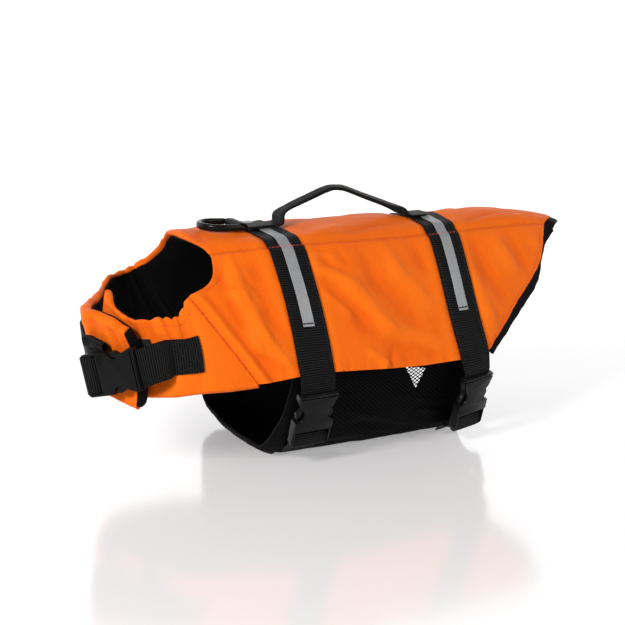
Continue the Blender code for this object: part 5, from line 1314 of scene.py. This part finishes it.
def on_cloth(x, q, lift, **size):
    """Stitches along a line on the body cloth, `lift` above it."""
    return dash_mesh(cloth_face(x, q, lift), torso_normal(x, q), **size)


def over_straps(x, q, **size):
    """Stitches along a line on the body cloth, climbing over the straps and tapes."""
    return on_cloth(x, q, over_height(x, q), **size)


def on_flap(side, u, v, lift, **size):
    """Stitches along a line on a neck flap, `lift` above it."""
    return dash_mesh(flap(side, u, v, lift), flap_normal(side, u, v), **size)


def make_orange_stitching(finish):
    """Orange thread: the ridge and chest seams, the neck and rear edges, and the flaps' tops and ends."""
    rows = []
    for side in (LEFT, RIGHT):
        x = np.linspace(front_x(np.array(0.0), side) + 6, rear_x(np.array(0.0)) - 5, 400)
        rows.append(over_straps(x, side * (1.03 + 0 * x)))
        s = np.linspace(CORNER_S + 0.02, 0.97, 90)
        rows.append(over_straps(front_x(s, side) + 1.3, side * (1 + s), length=4.6, gap=0.5, radius=0.5))
        s = np.linspace(0.03, 0.97, 140)
        rows.append(over_straps(rear_x(s) - REAR_STITCH, side * (1 + s)))
        s = np.linspace(0.02, CORNER_S - 0.02, 60)
        rows.append(over_straps(front_x(s, side) + NECK_STITCH, side * (1 + s)))
        v = np.linspace(0.05, 0.95, 90)
        u = np.linspace(0.03, 0.97, 220)
        rows.append(on_flap(side, u, 0 * u + 0.085, THREAD_LIFT))
        rows.append(on_flap(side, 0 * v + 1 - END_STITCH / FLAP_LENGTH[side], v, THREAD_LIFT))
    q = np.linspace(-0.97, 0.97, 70)
    rows.append(over_straps(spine_rear_x(q) - REAR_STITCH, q))
    rows.append(over_straps(spine_front_x(q) + NECK_STITCH, q))
    place(joined(rows), "orange_stitching", finish, None)


def tape_end_line(strap, side):
    """Black stitches straight across the tape, just before its end."""
    across = np.linspace(-0.56, 0.56, 24) * TAPE_WIDTH
    q = side * (1 + strap["tape_s"] - 0.019) + 0 * across
    x = strap_x(strap, q) + across
    lift = np.where(np.abs(across) < TAPE_WIDTH / 2 + 0.4, SEAM_GAP + TAPE_THICK, 0.0)
    return on_cloth(x, q, WEB_TOP + lift + 0.15, length=4.0, gap=0.1, radius=0.75)


def flap_line(side, table, share_along, share_across, lift):
    """Stitches on the neck webbing: shares of its length and of its width."""
    row = smooth(np.linspace(0, 1, len(table)), table, share_along)
    u = row[:, 0] + (row[:, 2] - row[:, 0]) * share_across
    v = row[:, 1] + (row[:, 3] - row[:, 1]) * share_across
    return on_flap(side, u, v, lift, length=2.4, gap=0.8, radius=0.28)


def make_black_stitching(finish):
    """Black thread: strap edges, tape ends, and boxes with a cross on the sewn ends of the neck webbing."""
    rows = []
    for strap in STRAPS.values():
        q = np.linspace(-1.93, 1.93, 260)
        for across in (-WEB_WIDTH / 2 + EDGE_STITCH, WEB_WIDTH / 2 - EDGE_STITCH):
            rows.append(on_cloth(strap_x(strap, q) + across, q, WEB_TOP + BLACK_LIFT, radius=0.28))
        rows += [tape_end_line(strap, side) for side in (LEFT, RIGHT)]
    ramp = np.linspace(0, 1, 40)
    boxes = ((LEFT, NECK_WEB_LEFT, 0.12, 0.52, NECK_WEB_GAP), (LEFT, NECK_WEB_LEFT, 0.56, 0.96, NECK_WEB_GAP),
             (RIGHT, NECK_WEB_RIGHT, 0.86, 0.97, LAY_GAP), (RIGHT, NECK_WEB_RIGHT, 0.18, 0.30, LAY_GAP))
    for side, table, near, far, gap in boxes:
        along, lift = near + (far - near) * ramp, gap + WEB_THICK + BLACK_LIFT
        still, over, back = 0 * ramp, 0.1 + 0.8 * ramp, 0.9 - 0.8 * ramp
        for a, b in ((along, still + 0.1), (along, still + 0.9), (still + near, over), (still + far, over),
                     (along, over), (along, back)):
            rows.append(flap_line(side, table, a, b, lift))
    place(joined(rows), "black_stitching", finish, None)


# ---- materials ----
def arithmetic(kind, turned=False):
    """Method for one arithmetic sign; turned is for a Number on the sign's right."""
    def method(self, other):
        return self.finish.math(kind, *((other, self) if turned else (self, other)))
    return method


class Number:
    """A number in a material; arithmetic with it adds Math nodes."""

    def __init__(self, finish, socket):
        self.finish, self.socket = finish, socket

    def math(self, kind, *others):
        return self.finish.math(kind, self, *others)

    __add__, __radd__ = arithmetic("ADD"), arithmetic("ADD", turned=True)
    __sub__, __rsub__ = arithmetic("SUBTRACT"), arithmetic("SUBTRACT", turned=True)
    __mul__, __rmul__ = arithmetic("MULTIPLY"), arithmetic("MULTIPLY", turned=True)
    __truediv__ = arithmetic("DIVIDE")

    def sin(self):
        return self.math("SINE")

    def fract(self):
        return self.math("FRACT")

    def abs(self):
        return self.math("ABSOLUTE")

    def clamp(self, low=0.0, high=1.0):
        return self.math("MAXIMUM", low).math("MINIMUM", high)


class Finish:
    """Node tree of one material round its Principled BSDF; `constants` are values set on its sockets."""

    def __init__(self, name, colour, roughness, constants=None):
        self.material = bpy.data.materials.new(name)
        self.material.use_nodes = True
        self.tree = self.material.node_tree
        self.shader = self.tree.nodes["Principled BSDF"]
        self.fill(self.shader, {"Base Color": (*colour, 1.0), "Roughness": roughness, **(constants or {})})

    def fill(self, node, inputs):
        """Set or link a node's sockets, by name or index."""
        for key, value in inputs.items():
            socket = node.inputs[key]
            if isinstance(value, Number):
                self.tree.links.new(value.socket, socket)
            elif isinstance(value, bpy.types.NodeSocket):
                self.tree.links.new(value, socket)
            else:
                socket.default_value = value

    def node(self, kind, settings=None, inputs=None):
        """New node: its settings first, then its sockets."""
        made = self.tree.nodes.new("ShaderNode" + kind)
        for key, value in (settings or {}).items():
            setattr(made, key, value)
        self.fill(made, inputs or {})
        return made

    def math(self, kind, *values):
        made = self.node("Math", {"operation": kind}, dict(enumerate(values)))
        return Number(self, made.outputs[0])

    def mix(self, low, high, factor):
        """Colour between two colours."""
        made = self.node("Mix", {"data_type": "RGBA"}, {0: factor, 6: low, 7: high})
        return made.outputs[2]

    def cloth(self):
        """The piece's own coordinates in millimetres: across and along."""
        split = self.node("SeparateXYZ", inputs={0: self.node("UVMap", {"uv_map": "cloth"}).outputs[0]})
        return Number(self, split.outputs[0]), Number(self, split.outputs[1])

    def field(self, name):
        """A number kept on the mesh's points."""
        return Number(self, self.node("Attribute", {"attribute_name": name}).outputs["Fac"])

    def noise(self, size, detail=2.0, roughness=0.5):
        """Noise between 0 and 1 whose patches are about `size` millimetres across."""
        place_at = self.node("TexCoord").outputs["Object"]
        made = self.node("TexNoise", inputs={"Vector": place_at, "Scale": 1000.0 / size, "Detail": detail,
                                             "Roughness": roughness})
        return Number(self, made.outputs[0])

    def raised(self, height, depth, strength=1.0, below=None):
        """Bump: `height` between 0 and 1 stands `depth` millimetres high; returns the normal."""
        inputs = {"Strength": strength, "Distance": depth * MM, "Height": height}
        if below is not None:
            inputs["Normal"] = below
        return self.node("Bump", inputs=inputs).outputs[0]

    def done(self, **varying):
        """The material, once what varies over the surface is linked to its shader."""
        names = {"colour": "Base Color", "roughness": "Roughness", "alpha": "Alpha", "normal": "Normal"}
        self.fill(self.shader, {names[key]: value for key, value in varying.items()})
        return self.material


def tint(colour, factor=1.0):
    """A colour times a factor, or times one for each channel, as a socket takes it."""
    return (*(np.multiply(colour, factor).tolist()), 1.0)


def weave(across, along, pitch):
    """Plain weave: sin(2 pi a / pitch) * sin(2 pi b / pitch), from -1 to 1."""
    turn = math.tau / pitch
    return (across * turn).sin() * (along * turn).sin()


def orange_polyester(look):
    """Plain woven polyester: painted shade, darker and redder, in the troughs of its folds and seams, a fine
    weave, soft crinkles and a weak sheen.
    """
    finish = Finish("orange_polyester", look.colours.orange, 0.55, {
        "IOR": 1.22, "Specular IOR Level": 0.6, "Specular Tint": (1.0, 0.4, 0.12, 1.0), "Sheen Weight": 0.01,
        "Sheen Roughness": 0.5, "Sheen Tint": (1.0, 0.6, 0.35, 1.0)})
    across, along = finish.cloth()
    fold = finish.field("fold")
    # painted shade: the fold height on the mesh darkens the colour towards a redder orange in creases and
    # seam dips, and noise adds uneven patches
    trough = (0.5 - fold * 0.34).clamp()
    patches = finish.noise(26, 3)
    colour = finish.mix(tint(look.colours.orange), tint(look.colours.orange, (0.86, 0.68, 0.7)),
                        (trough * 0.75 + patches * 0.3).clamp())
    broad = finish.raised(finish.noise(30, 2, 0.4), 3.0, 0.6)
    crinkle = finish.raised(finish.noise(9.5, 3, 0.5), 1.1, 0.7, broad)
    grain = finish.raised(finish.noise(3.6, 2, 0.5), 0.4, 0.6, crinkle)
    fine = finish.raised(weave(across, along, look.sizes.weave_pitch), 0.05, 0.35, grain)
    return finish.done(colour=colour, roughness=0.52 + 0.12 * finish.noise(12, 2), normal=fine)


def black_lining_cloth(look):
    """Matt black plain weave, softly crinkled."""
    finish = Finish("black_lining", look.colours.black_cloth, 0.75, {
        "Specular IOR Level": 0.07, "Sheen Weight": 0.006, "Sheen Roughness": 0.4})
    across, along = finish.cloth()
    crinkle = finish.raised(finish.noise(6, 3), 0.4, 0.5)
    return finish.done(normal=finish.raised(weave(across, along, look.sizes.weave_pitch), 0.06, 0.4, crinkle))


def ribbed_webbing(look):
    """Woven band: ribs straight across it, and a finer twist along each rib; the rib tops are painted lighter
    as painted sheen, the hollows between them darker as painted shade.
    """
    finish = Finish("black_webbing", look.colours.webbing, 0.5, {"Specular IOR Level": 0.07})
    across, along = finish.cloth()
    ribs = (along * (math.pi / look.sizes.rib_pitch)).sin().abs()
    twist = ((across + along * 0.5) * (2 * math.pi / 1.6)).sin()
    height = (ribs * 1.05 + twist * 0.2 - 0.25).clamp()
    # painted sheen on the rib tops and painted shade between them: the rib height sets the colour from nearly
    # black to a lighter grey
    colour = finish.mix(tint(look.colours.webbing, 0.05), tint(look.colours.webbing, 3.9), height)
    return finish.done(colour=colour, normal=finish.raised(height, 0.7, 1.0))


def silver_film(look):
    """Reflective tape: grey film with a fine slanted grid."""
    finish = Finish("reflective_tape", look.colours.tape, 0.42, {"Specular IOR Level": 0.4, "Metallic": 0.05})
    across, along = finish.cloth()
    grid = weave(across + along, across - along, 1.6)
    colour = finish.mix(tint(look.colours.tape, 0.8), tint(look.colours.tape), finish.noise(5, 3))
    return finish.done(colour=colour, normal=finish.raised(grid, 0.04, 0.4),
                       roughness=0.36 + 0.14 * finish.noise(3, 2))


def satin_plastic(look):
    """Black moulded plastic: a fine grain and an uneven gloss."""
    finish = Finish("black_plastic", look.colours.plastic, 0.24, {"Specular IOR Level": 0.14})
    grain = finish.noise(0.7, 2)
    return finish.done(normal=finish.raised(grain, 0.02, 0.35), roughness=0.22 + 0.10 * finish.noise(9, 2))


def mesh_net(look):
    """Knitted mesh: round holes on two staggered grids, ringed by raised thread; the holes are painted
    near-black as painted shade, and are see-through only inside the single-layer window.
    """
    finish = Finish("belly_net", look.colours.black_cloth, 0.6, {"Specular IOR Level": 0.025})
    across, along = finish.cloth()
    pitch = look.sizes.net_pitch
    reach = []
    for shift in (0.0, 0.5):
        a = (across / pitch + shift).fract() - 0.5
        b = (along / pitch + shift).fract() - 0.5
        reach.append((a * a + b * b).math("SQRT"))
    nearest = reach[0].math("MINIMUM", reach[1])
    hole = ((nearest - look.sizes.net_hole) * 14 + 0.5).clamp()
    # the holes are see-through only inside the single-layer window; outside it they stay opaque, and their
    # near-black colour below is painted shade
    alpha = (hole + 1 - (finish.field("single") * 4 - 1).clamp()).clamp()
    colour = finish.mix((0.0004, 0.0004, 0.0004, 1.0), tint(look.colours.black_cloth, 2.2), hole)
    return finish.done(colour=colour, alpha=alpha, normal=finish.raised(hole, 0.5, 0.9))


def folded_binding(look):
    """Black tape with fine ribs along it."""
    finish = Finish("black_binding", look.colours.black_cloth, 0.5, {"Specular IOR Level": 0.03})
    ribs = (finish.cloth()[0] * (math.pi / 0.9)).sin().abs()
    return finish.done(normal=finish.raised(ribs, 0.15, 0.6))


def loop_patch(look):
    """Matt black fuzz of fine loops."""
    finish = Finish("loop_patch", look.colours.black_cloth, 0.9, {
        "Specular IOR Level": 0.15, "Sheen Weight": 0.3})
    return finish.done(normal=finish.raised(finish.noise(1.4, 3, 0.7), 0.8, 1.0))


def thread(name, colour):
    """Thread of one colour with a fine uneven twist."""
    finish = Finish(name, colour, 0.5, {"Specular IOR Level": 0.4})
    return finish.done(normal=finish.raised(finish.noise(0.6, 1), 0.08, 0.5))


FINISHES = {
    "orange": orange_polyester, "lining": black_lining_cloth, "webbing": ribbed_webbing, "tape": silver_film,
    "plastic": satin_plastic, "net": mesh_net, "binding": folded_binding, "loop": loop_patch,
    "orange_thread": lambda look: thread("orange_thread", look.colours.orange_thread),
    "black_thread": lambda look: thread("black_thread", look.colours.black_thread)}
FINISHED = {}


def finish_of(context, key):
    """The material for a kind of piece, made once."""
    if key not in FINISHED:
        FINISHED[key] = FINISHES[key](context.scene.jacket_look)
    return FINISHED[key]


# ---- the add-on ----
def colour_property(name, description, default):
    """Colour that the sidebar shows as a swatch."""
    return FloatVectorProperty(name=name, description=description, subtype="COLOR", size=3, min=0, max=1,
                               default=default)


class JacketColours(bpy.types.PropertyGroup):
    orange: colour_property("Orange cloth", "Colour of the padded panels", (0.89, 0.165, 0.0085))
    black_cloth: colour_property("Black cloth", "Colour of lining, net and binding", (0.0028, 0.0028, 0.003))
    webbing: colour_property("Webbing", "Colour of straps and handle", (0.0042, 0.0042, 0.0043))
    tape: colour_property("Tape", "Colour of the reflective tape", (0.285, 0.29, 0.302))
    plastic: colour_property("Plastic", "Colour of buckles and ring", (0.0042, 0.0042, 0.0043))
    orange_thread: colour_property("Orange thread", "Colour of the seams' thread", (0.72, 0.065, 0.006))
    black_thread: colour_property("Black thread", "Colour of the straps' thread", (0.0038, 0.0038, 0.0039))


class JacketSizes(bpy.types.PropertyGroup):
    weave_pitch: FloatProperty(name="Weave pitch", description="Two threads of the cloth, in millimetres",
                               default=0.9, min=0.2, max=4)
    rib_pitch: FloatProperty(name="Rib pitch", description="One rib of the webbing, in millimetres",
                             default=2.4, min=0.5, max=6)
    net_pitch: FloatProperty(name="Net pitch", description="Distance between holes in a row, in millimetres",
                             default=5.6, min=1, max=10)
    net_hole: FloatProperty(name="Net hole", description="Radius of a hole as a share of the pitch",
                            default=0.3, min=0.05, max=0.34)


class JacketLook(bpy.types.PropertyGroup):
    colours: PointerProperty(name="Colours", description="Colours of the jacket's pieces", type=JacketColours)
    sizes: PointerProperty(name="Sizes", description="Sizes of the patterns in its cloth", type=JacketSizes)


class JacketOperator:
    bl_options = {"REGISTER", "UNDO"}


class JACKET_OT_panels(JacketOperator, bpy.types.Operator):
    """Padded orange body panels"""
    bl_idname, bl_label = "jacket.panels", "Body panels"

    def execute(self, context):
        orange = finish_of(context, "orange")
        make_spine_panel(orange)
        make_side_panel(LEFT, orange)
        make_side_panel(RIGHT, orange)
        return {"FINISHED"}


class JACKET_OT_flaps(JacketOperator, bpy.types.Operator):
    """Padded orange neck flaps and the loop patch"""
    bl_idname, bl_label = "jacket.flaps", "Neck flaps"

    def execute(self, context):
        orange = finish_of(context, "orange")
        make_neck_flap(LEFT, orange)
        make_neck_flap(RIGHT, orange)
        make_closure_patch(finish_of(context, "loop"))
        return {"FINISHED"}


class JACKET_OT_linings(JacketOperator, bpy.types.Operator):
    """Black linings and edge facings"""
    bl_idname, bl_label = "jacket.linings", "Linings and rims"

    def execute(self, context):
        lining = finish_of(context, "lining")
        make_body_lining(lining)
        make_rear_rim(lining)
        make_neck_lining(LEFT, lining)
        make_neck_lining(RIGHT, lining)
        make_neck_flap_rim(lining)
        return {"FINISHED"}


class JACKET_OT_belly(JacketOperator, bpy.types.Operator):
    """Belly net and its two bindings"""
    bl_idname, bl_label = "jacket.belly", "Belly net"

    def execute(self, context):
        make_belly_net(finish_of(context, "net"))
        binding = finish_of(context, "binding")
        make_binding("belly_binding_front", 1, 1, binding)
        make_binding("belly_binding_rear", 2, -1, binding)
        return {"FINISHED"}


class JACKET_OT_straps(JacketOperator, bpy.types.Operator):
    """Back straps with their reflective tapes, and the short straps on the net"""
    bl_idname, bl_label = "jacket.straps", "Body straps"

    def execute(self, context):
        webbing_finish, tape = finish_of(context, "webbing"), finish_of(context, "tape")
        for prefix, make, finish in (("back_strap_", make_back_strap, webbing_finish),
                                     ("reflective_tape_", make_tape, tape),
                                     ("belly_strap_", make_belly_strap, webbing_finish)):
            for where, strap in STRAPS.items():
                make(prefix + where, strap, finish)
        return {"FINISHED"}


class JACKET_OT_neck_webbing(JacketOperator, bpy.types.Operator):
    """Webbing on the neck flaps"""
    bl_idname, bl_label = "jacket.neck_webbing", "Neck webbing"

    def execute(self, context):
        webbing_finish = finish_of(context, "webbing")
        make_neck_strap_left(webbing_finish)
        make_neck_strap_right(webbing_finish)
        make_neck_loop(webbing_finish)
        return {"FINISHED"}


class JACKET_OT_handle(JacketOperator, bpy.types.Operator):
    """Grip handle along the spine"""
    bl_idname, bl_label = "jacket.handle", "Handle"

    def execute(self, context):
        make_handle(finish_of(context, "webbing"))
        return {"FINISHED"}


class JACKET_OT_plastic(JacketOperator, bpy.types.Operator):
    """D-ring and the six buckle halves"""
    bl_idname, bl_label = "jacket.plastic", "Ring and buckles"

    def execute(self, context):
        plastic = finish_of(context, "plastic")
        make_d_ring(plastic)
        for where, buckle in (("front", FRONT_BUCKLE), ("rear", REAR_BUCKLE), ("neck", NECK_BUCKLE)):
            make_buckle("buckle_male_" + where, buckle, plastic)
            make_buckle("buckle_female_" + where, buckle, plastic)
        return {"FINISHED"}


class JACKET_OT_stitching(JacketOperator, bpy.types.Operator):
    """Orange and black thread"""
    bl_idname, bl_label = "jacket.stitching", "Stitching"

    def execute(self, context):
        make_orange_stitching(finish_of(context, "orange_thread"))
        make_black_stitching(finish_of(context, "black_thread"))
        return {"FINISHED"}


class JACKET_OT_stage(JacketOperator, bpy.types.Operator):
    """Pale floor, soft light and camera"""
    bl_idname, bl_label = "jacket.stage", "Stage"

    def execute(self, context):
        make_stage(context)
        return {"FINISHED"}


class JACKET_PT_panel(bpy.types.Panel):
    bl_label, bl_space_type, bl_region_type, bl_category = "Dog life jacket", "VIEW_3D", "UI", "Jacket"

    def draw(self, context):
        look = context.scene.jacket_look
        for kind, group in ((JacketColours, look.colours), (JacketSizes, look.sizes)):
            for key in kind.__annotations__:
                self.layout.prop(group, key)
        for operator in OPERATORS:
            self.layout.operator(operator.bl_idname)


def area_light(name, place_at, towards, size, watts, colour):
    """Round area light at one point, turned to look at another."""
    data = bpy.data.lights.new(name, "AREA")
    data.shape, data.size, data.energy, data.color = "DISK", size, watts, colour
    made = linked(name, data)
    made.location = place_at
    made.rotation_euler = (Vector(towards) - Vector(place_at)).to_track_quat("-Z", "Y").to_euler()
    return made


# the stage, in metres
WHITE = (1.0, 1.0, 1.0)
FLOOR_RADIUS, FLOOR_SIDES, FLOOR_Z = 5.0, 96, -0.0004
WALL_RADIUS, WALL_POINTS, WALL_TURN = 4.8, 49, np.radians((-15, 165))
WALL_FOOT, WALL_TOP = -0.001, 3.5
FLOOR_GLOW, WALL_GLOW, WORLD_GLOW = 0.33, 1.5, 0.16
# lights: where they are and look, size, watts, colour
KEY_LIGHT = (-1.75, -0.95, 1.25), (0, 0, 0.12), 0.6, 45, (1.0, 0.985, 0.96)
FILL_LIGHT = (1.1, -1.6, 0.9), (0.05, 0, 0.12), 0.9, 14, WHITE
# camera: the point it looks at, its distance and direction from there, its lens and sensor in millimetres,
# and its shift as shares of the frame's side
VIEW_POINT, VIEW_REACH = (0, 0, 0.129), 1.65
VIEW_AZIMUTH, VIEW_ELEVATION = math.radians(-25), math.radians(14)
LENS, SENSOR, SHIFT = 92.16, 36.0, (4.5 / 625, 1.5 / 625)
CLIP = (0.05, 40)


def arc(radius, angle, height):
    """Points on a circle round the z axis, all at one height."""
    return np.column_stack((radius * np.cos(angle), radius * np.sin(angle), 0 * angle + height))


def make_stage(context):
    """Pale glossy floor, a bright sweep behind it, dim surroundings, two soft lights and the camera."""
    scene = context.scene
    rim = arc(FLOOR_RADIUS, np.linspace(0, math.tau, FLOOR_SIDES, endpoint=False), FLOOR_Z)
    floor = stage_piece("floor", rim, [list(range(FLOOR_SIDES))])
    surface = Finish("floor", (0.52, 0.52, 0.53), 0.14, {
        "Specular IOR Level": 0.75, "Emission Color": (1.0, 0.985, 0.98, 1.0),
        "Emission Strength": FLOOR_GLOW})
    floor.data.materials.append(surface.done(roughness=0.13 + 0.02 * surface.noise(60)))
    turn = np.linspace(*WALL_TURN, WALL_POINTS)
    wall = np.concatenate([arc(WALL_RADIUS, turn, height) for height in (WALL_FOOT, WALL_TOP)])
    backdrop = stage_piece("backdrop", wall, grid_quads(2, WALL_POINTS).tolist())
    glow = Finish("backdrop", (0.2, 0.2, 0.2), 0.9, {
        "Specular IOR Level": 0.0, "Emission Color": tint(WHITE), "Emission Strength": WALL_GLOW})
    backdrop.data.materials.append(glow.done())
    world = bpy.data.worlds.new("surroundings")
    scene.world = world
    world.use_nodes = True
    background = world.node_tree.nodes["Background"]
    background.inputs["Color"].default_value = tint(WHITE)
    background.inputs["Strength"].default_value = WORLD_GLOW
    lights = [area_light("key", *KEY_LIGHT), area_light("fill", *FILL_LIGHT)]
    level = math.cos(VIEW_ELEVATION)
    back = Vector((math.sin(VIEW_AZIMUTH) * level, -math.cos(VIEW_AZIMUTH) * level, math.sin(VIEW_ELEVATION)))
    data = bpy.data.cameras.new("camera")
    data.lens, data.sensor_width = LENS, SENSOR
    data.shift_x, data.shift_y = SHIFT
    data.clip_start, data.clip_end = CLIP
    camera = linked("camera", data)
    camera.location = Vector(VIEW_POINT) + back * VIEW_REACH
    camera.rotation_euler = (-back).to_track_quat("-Z", "Y").to_euler()
    scene.camera = camera
    scene.view_settings.view_transform = "Standard"
    scene.view_settings.look = "None"
    scene.view_settings.exposure = 0.0


def stage_piece(name, points, faces):
    """Part of the stage, from points in metres."""
    mesh = bpy.data.meshes.new(name)
    mesh.from_pydata(points.tolist(), [], faces)
    return linked(name, mesh)


OPERATORS = (
    JACKET_OT_panels, JACKET_OT_flaps, JACKET_OT_linings, JACKET_OT_belly, JACKET_OT_straps,
    JACKET_OT_neck_webbing, JACKET_OT_handle, JACKET_OT_plastic, JACKET_OT_stitching, JACKET_OT_stage)
CLASSES = (JacketColours, JacketSizes, JacketLook) + OPERATORS + (JACKET_PT_panel,)


def register():
    for kind in CLASSES:
        bpy.utils.register_class(kind)
    bpy.types.Scene.jacket_look = PointerProperty(type=JacketLook)


def unregister():
    del bpy.types.Scene.jacket_look
    for kind in CLASSES[::-1]:
        bpy.utils.unregister_class(kind)


def main():
    register()
    for step in ("panels", "flaps", "linings", "belly", "straps", "neck_webbing", "handle", "plastic",
                 "stitching", "stage"):
        getattr(bpy.ops.jacket, step)()


if __name__ == "__main__":
    main()
